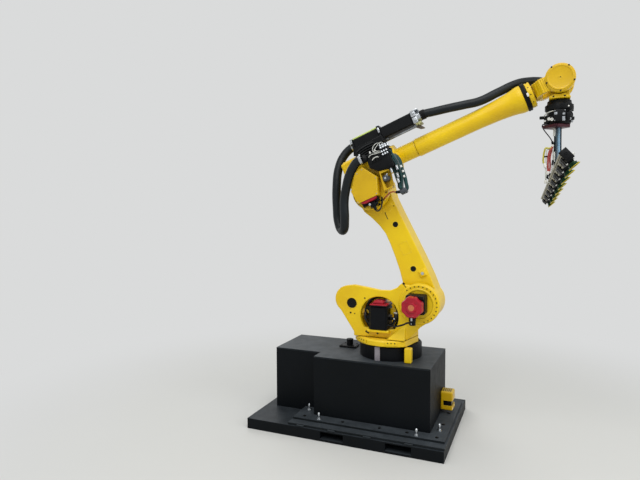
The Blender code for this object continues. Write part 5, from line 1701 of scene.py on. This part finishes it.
@dataclass
class Studio:
    """The floor, the lamps and the camera."""
    camera_place: Point = (1.27624, -4.65217, 1.98227)
    azimuth: float = 23.17
    elevation: float = 2.918
    roll: float = -0.216
    focal_pixels: float = 517.947
    photo_width: int = 640
    sensor: float = 36.0
    backdrop: str = "#DADBDB"
    floor_tint: str = "#D6D6D2"
    floor_shade: str = "#CFCFCB"

    def build(self) -> None:
        """Build the studio."""
        self.floor()
        self.lamps()
        self.camera()
        scene = bpy.context.scene
        scene.view_settings.view_transform = "Standard"

    def floor(self) -> None:
        """Lay the plain pale floor, which turns into the backdrop's colour far from the object."""
        work = bmesh.new()
        bmesh.ops.create_grid(work, x_segments=1, y_segments=1, size=60.0)
        mesh = bpy.data.meshes.new("studio_floor")
        work.to_mesh(mesh)
        work.free()
        floor = bpy.data.objects.new("studio_floor", mesh)
        bpy.context.scene.collection.objects.link(floor)
        mesh.materials.append(self.floor_material())

    def floor_material(self) -> bpy.types.Material:
        """Mix the matt floor with the backdrop's plain colour by the distance from the object.

        Returns:
            The floor's material.
        """
        material = bpy.data.materials.new("matt_studio_floor")
        material.use_nodes = True
        tree = material.node_tree
        paint = tree.nodes["Principled BSDF"]
        out = tree.nodes["Material Output"]
        paint.inputs["Roughness"].default_value = 0.85
        paint.inputs["Specular IOR Level"].default_value = 0.1
        place = add_node(tree, "ShaderNodeTexCoord").outputs["Object"]
        cloud = add_node(tree, "ShaderNodeTexNoise", {"Vector": place, "Scale": 0.5, "Detail": 5.0})
        tree.links.new(blend_colours(tree, cloud.outputs["Fac"], self.floor_tint, self.floor_shade),
            paint.inputs["Base Color"])
        away = add_node(tree, "ShaderNodeVectorMath", {0: place}, operation="LENGTH")
        fade = add_node(tree, "ShaderNodeMapRange", {"Value": away.outputs["Value"], "From Min": 1.6, "From Max": 5.0},
            interpolation_type="SMOOTHERSTEP")
        path = add_node(tree, "ShaderNodeLightPath")
        seen = add_node(tree, "ShaderNodeMath", {0: path.outputs["Is Camera Ray"], 1: path.outputs["Is Glossy Ray"]},
            operation="MAXIMUM")
        share = add_node(tree, "ShaderNodeMath", {0: fade.outputs[0], 1: seen.outputs[0]}, operation="MULTIPLY")
        plain = add_node(tree, "ShaderNodeEmission", {"Color": linear(self.backdrop), "Strength": 1.0})
        mix = add_node(tree, "ShaderNodeMixShader", {0: share.outputs[0], 1: paint.outputs[0], 2: plain.outputs[0]})
        tree.links.new(mix.outputs[0], out.inputs["Surface"])
        return material

    def lamps(self) -> None:
        """Hang large soft lamps far off, so that the light is even, and set the pale world."""
        aim = Vector((0.3, 0.0, 1.4))
        for name, place, size, watts in (("overhead_softbox", (1.0, -5.0, 9.0), 7.0, 540.0),
                ("side_softbox", (8.0, -3.0, 5.0), 5.0, 170.0), ("back_softbox", (-6.0, 6.0, 6.0), 5.0, 170.0)):
            data = bpy.data.lights.new(name, "AREA")
            data.size = size
            data.energy = watts
            lamp = bpy.data.objects.new(name, data)
            lamp.location = place
            lamp.rotation_euler = (aim - Vector(place)).to_track_quat("-Z", "Y").to_euler()
            bpy.context.scene.collection.objects.link(lamp)
        world = bpy.data.worlds.new("studio_world")
        bpy.context.scene.world = world
        world.use_nodes = True
        tree = world.node_tree
        tree.nodes.clear()
        path = add_node(tree, "ShaderNodeLightPath")
        shown = add_node(tree, "ShaderNodeMath", {0: path.outputs["Is Camera Ray"], 1: path.outputs["Is Glossy Ray"]},
            operation="MAXIMUM")
        through = add_node(tree, "ShaderNodeMath", {0: shown.outputs[0], 1: path.outputs["Is Transmission Ray"]},
            operation="MAXIMUM")
        light = add_node(tree, "ShaderNodeBackground", {"Color": linear("#E4E6E8"), "Strength": 0.66})
        backdrop = add_node(tree, "ShaderNodeBackground", {"Color": linear(self.backdrop), "Strength": 1.0})
        mix = add_node(tree, "ShaderNodeMixShader", {0: through.outputs[0], 1: light.outputs[0],
            2: backdrop.outputs[0]})
        add_node(tree, "ShaderNodeOutputWorld", {0: mix.outputs[0]})

    def camera(self) -> None:
        """Set the camera at the photograph's place and angle."""
        side, tilt, turn = (math.radians(v) for v in (self.azimuth, self.elevation, self.roll))
        back = Vector((math.sin(side) * math.cos(tilt), -math.cos(side) * math.cos(tilt), math.sin(tilt)))
        right = Vector((math.cos(side), math.sin(side), 0.0))
        up = right.cross(-back)
        matrix = frame_from(Vector(self.camera_place), math.cos(turn) * right + math.sin(turn) * up,
            math.cos(turn) * up - math.sin(turn) * right, back)
        data = bpy.data.cameras.new("photo_camera")
        data.sensor_width = self.sensor
        data.lens = self.focal_pixels * self.sensor / self.photo_width
        data.clip_end = 100.0
        camera = bpy.data.objects.new("photo_camera", data)
        camera.matrix_world = matrix
        bpy.context.scene.collection.objects.link(camera)
        bpy.context.scene.camera = camera


def main() -> None:
    """Dress the frame sub-assembly by sub-assembly."""
    logging.basicConfig(level=logging.INFO, format="%(message)s")
    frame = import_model()
    bones = Skeleton(frame["joints"])
    NodeDress(frame["nodes"]).dress()
    castings = Castings(frame["nodes"])
    for node, body, voxel, rounds in (("turret_casting", Body.TURRET, 0.005, 5),
            ("lower_arm", Body.LOWER_ARM, 0.005, 5), ("elbow_casting", Body.ELBOW, 0.0045, 5),
            ("wrist_yoke", Body.FOREARM, 0.0035, 3), ("wrist_housing", Body.WRIST, 0.0035, 3)):
        castings.round_off(node, body, CAST_ENAMEL, voxel, rounds)
    for part, at, body in ((Riser, bones.world, Body.RISER), (Turret, Matrix.Translation(bones.shoulder), Body.TURRET),
            (LowerArm, bones.lower_arm, Body.LOWER_ARM), (Elbow, bones.elbow, Body.ELBOW),
            (Forearm, bones.forearm, Body.FOREARM), (WristHead, bones.wrist, Body.TOOL),
            (Tool, bones.wrist, Body.TOOL)):
        part(bones, at, body).build()
    Studio().build()


if __name__ == "__main__":
    main()
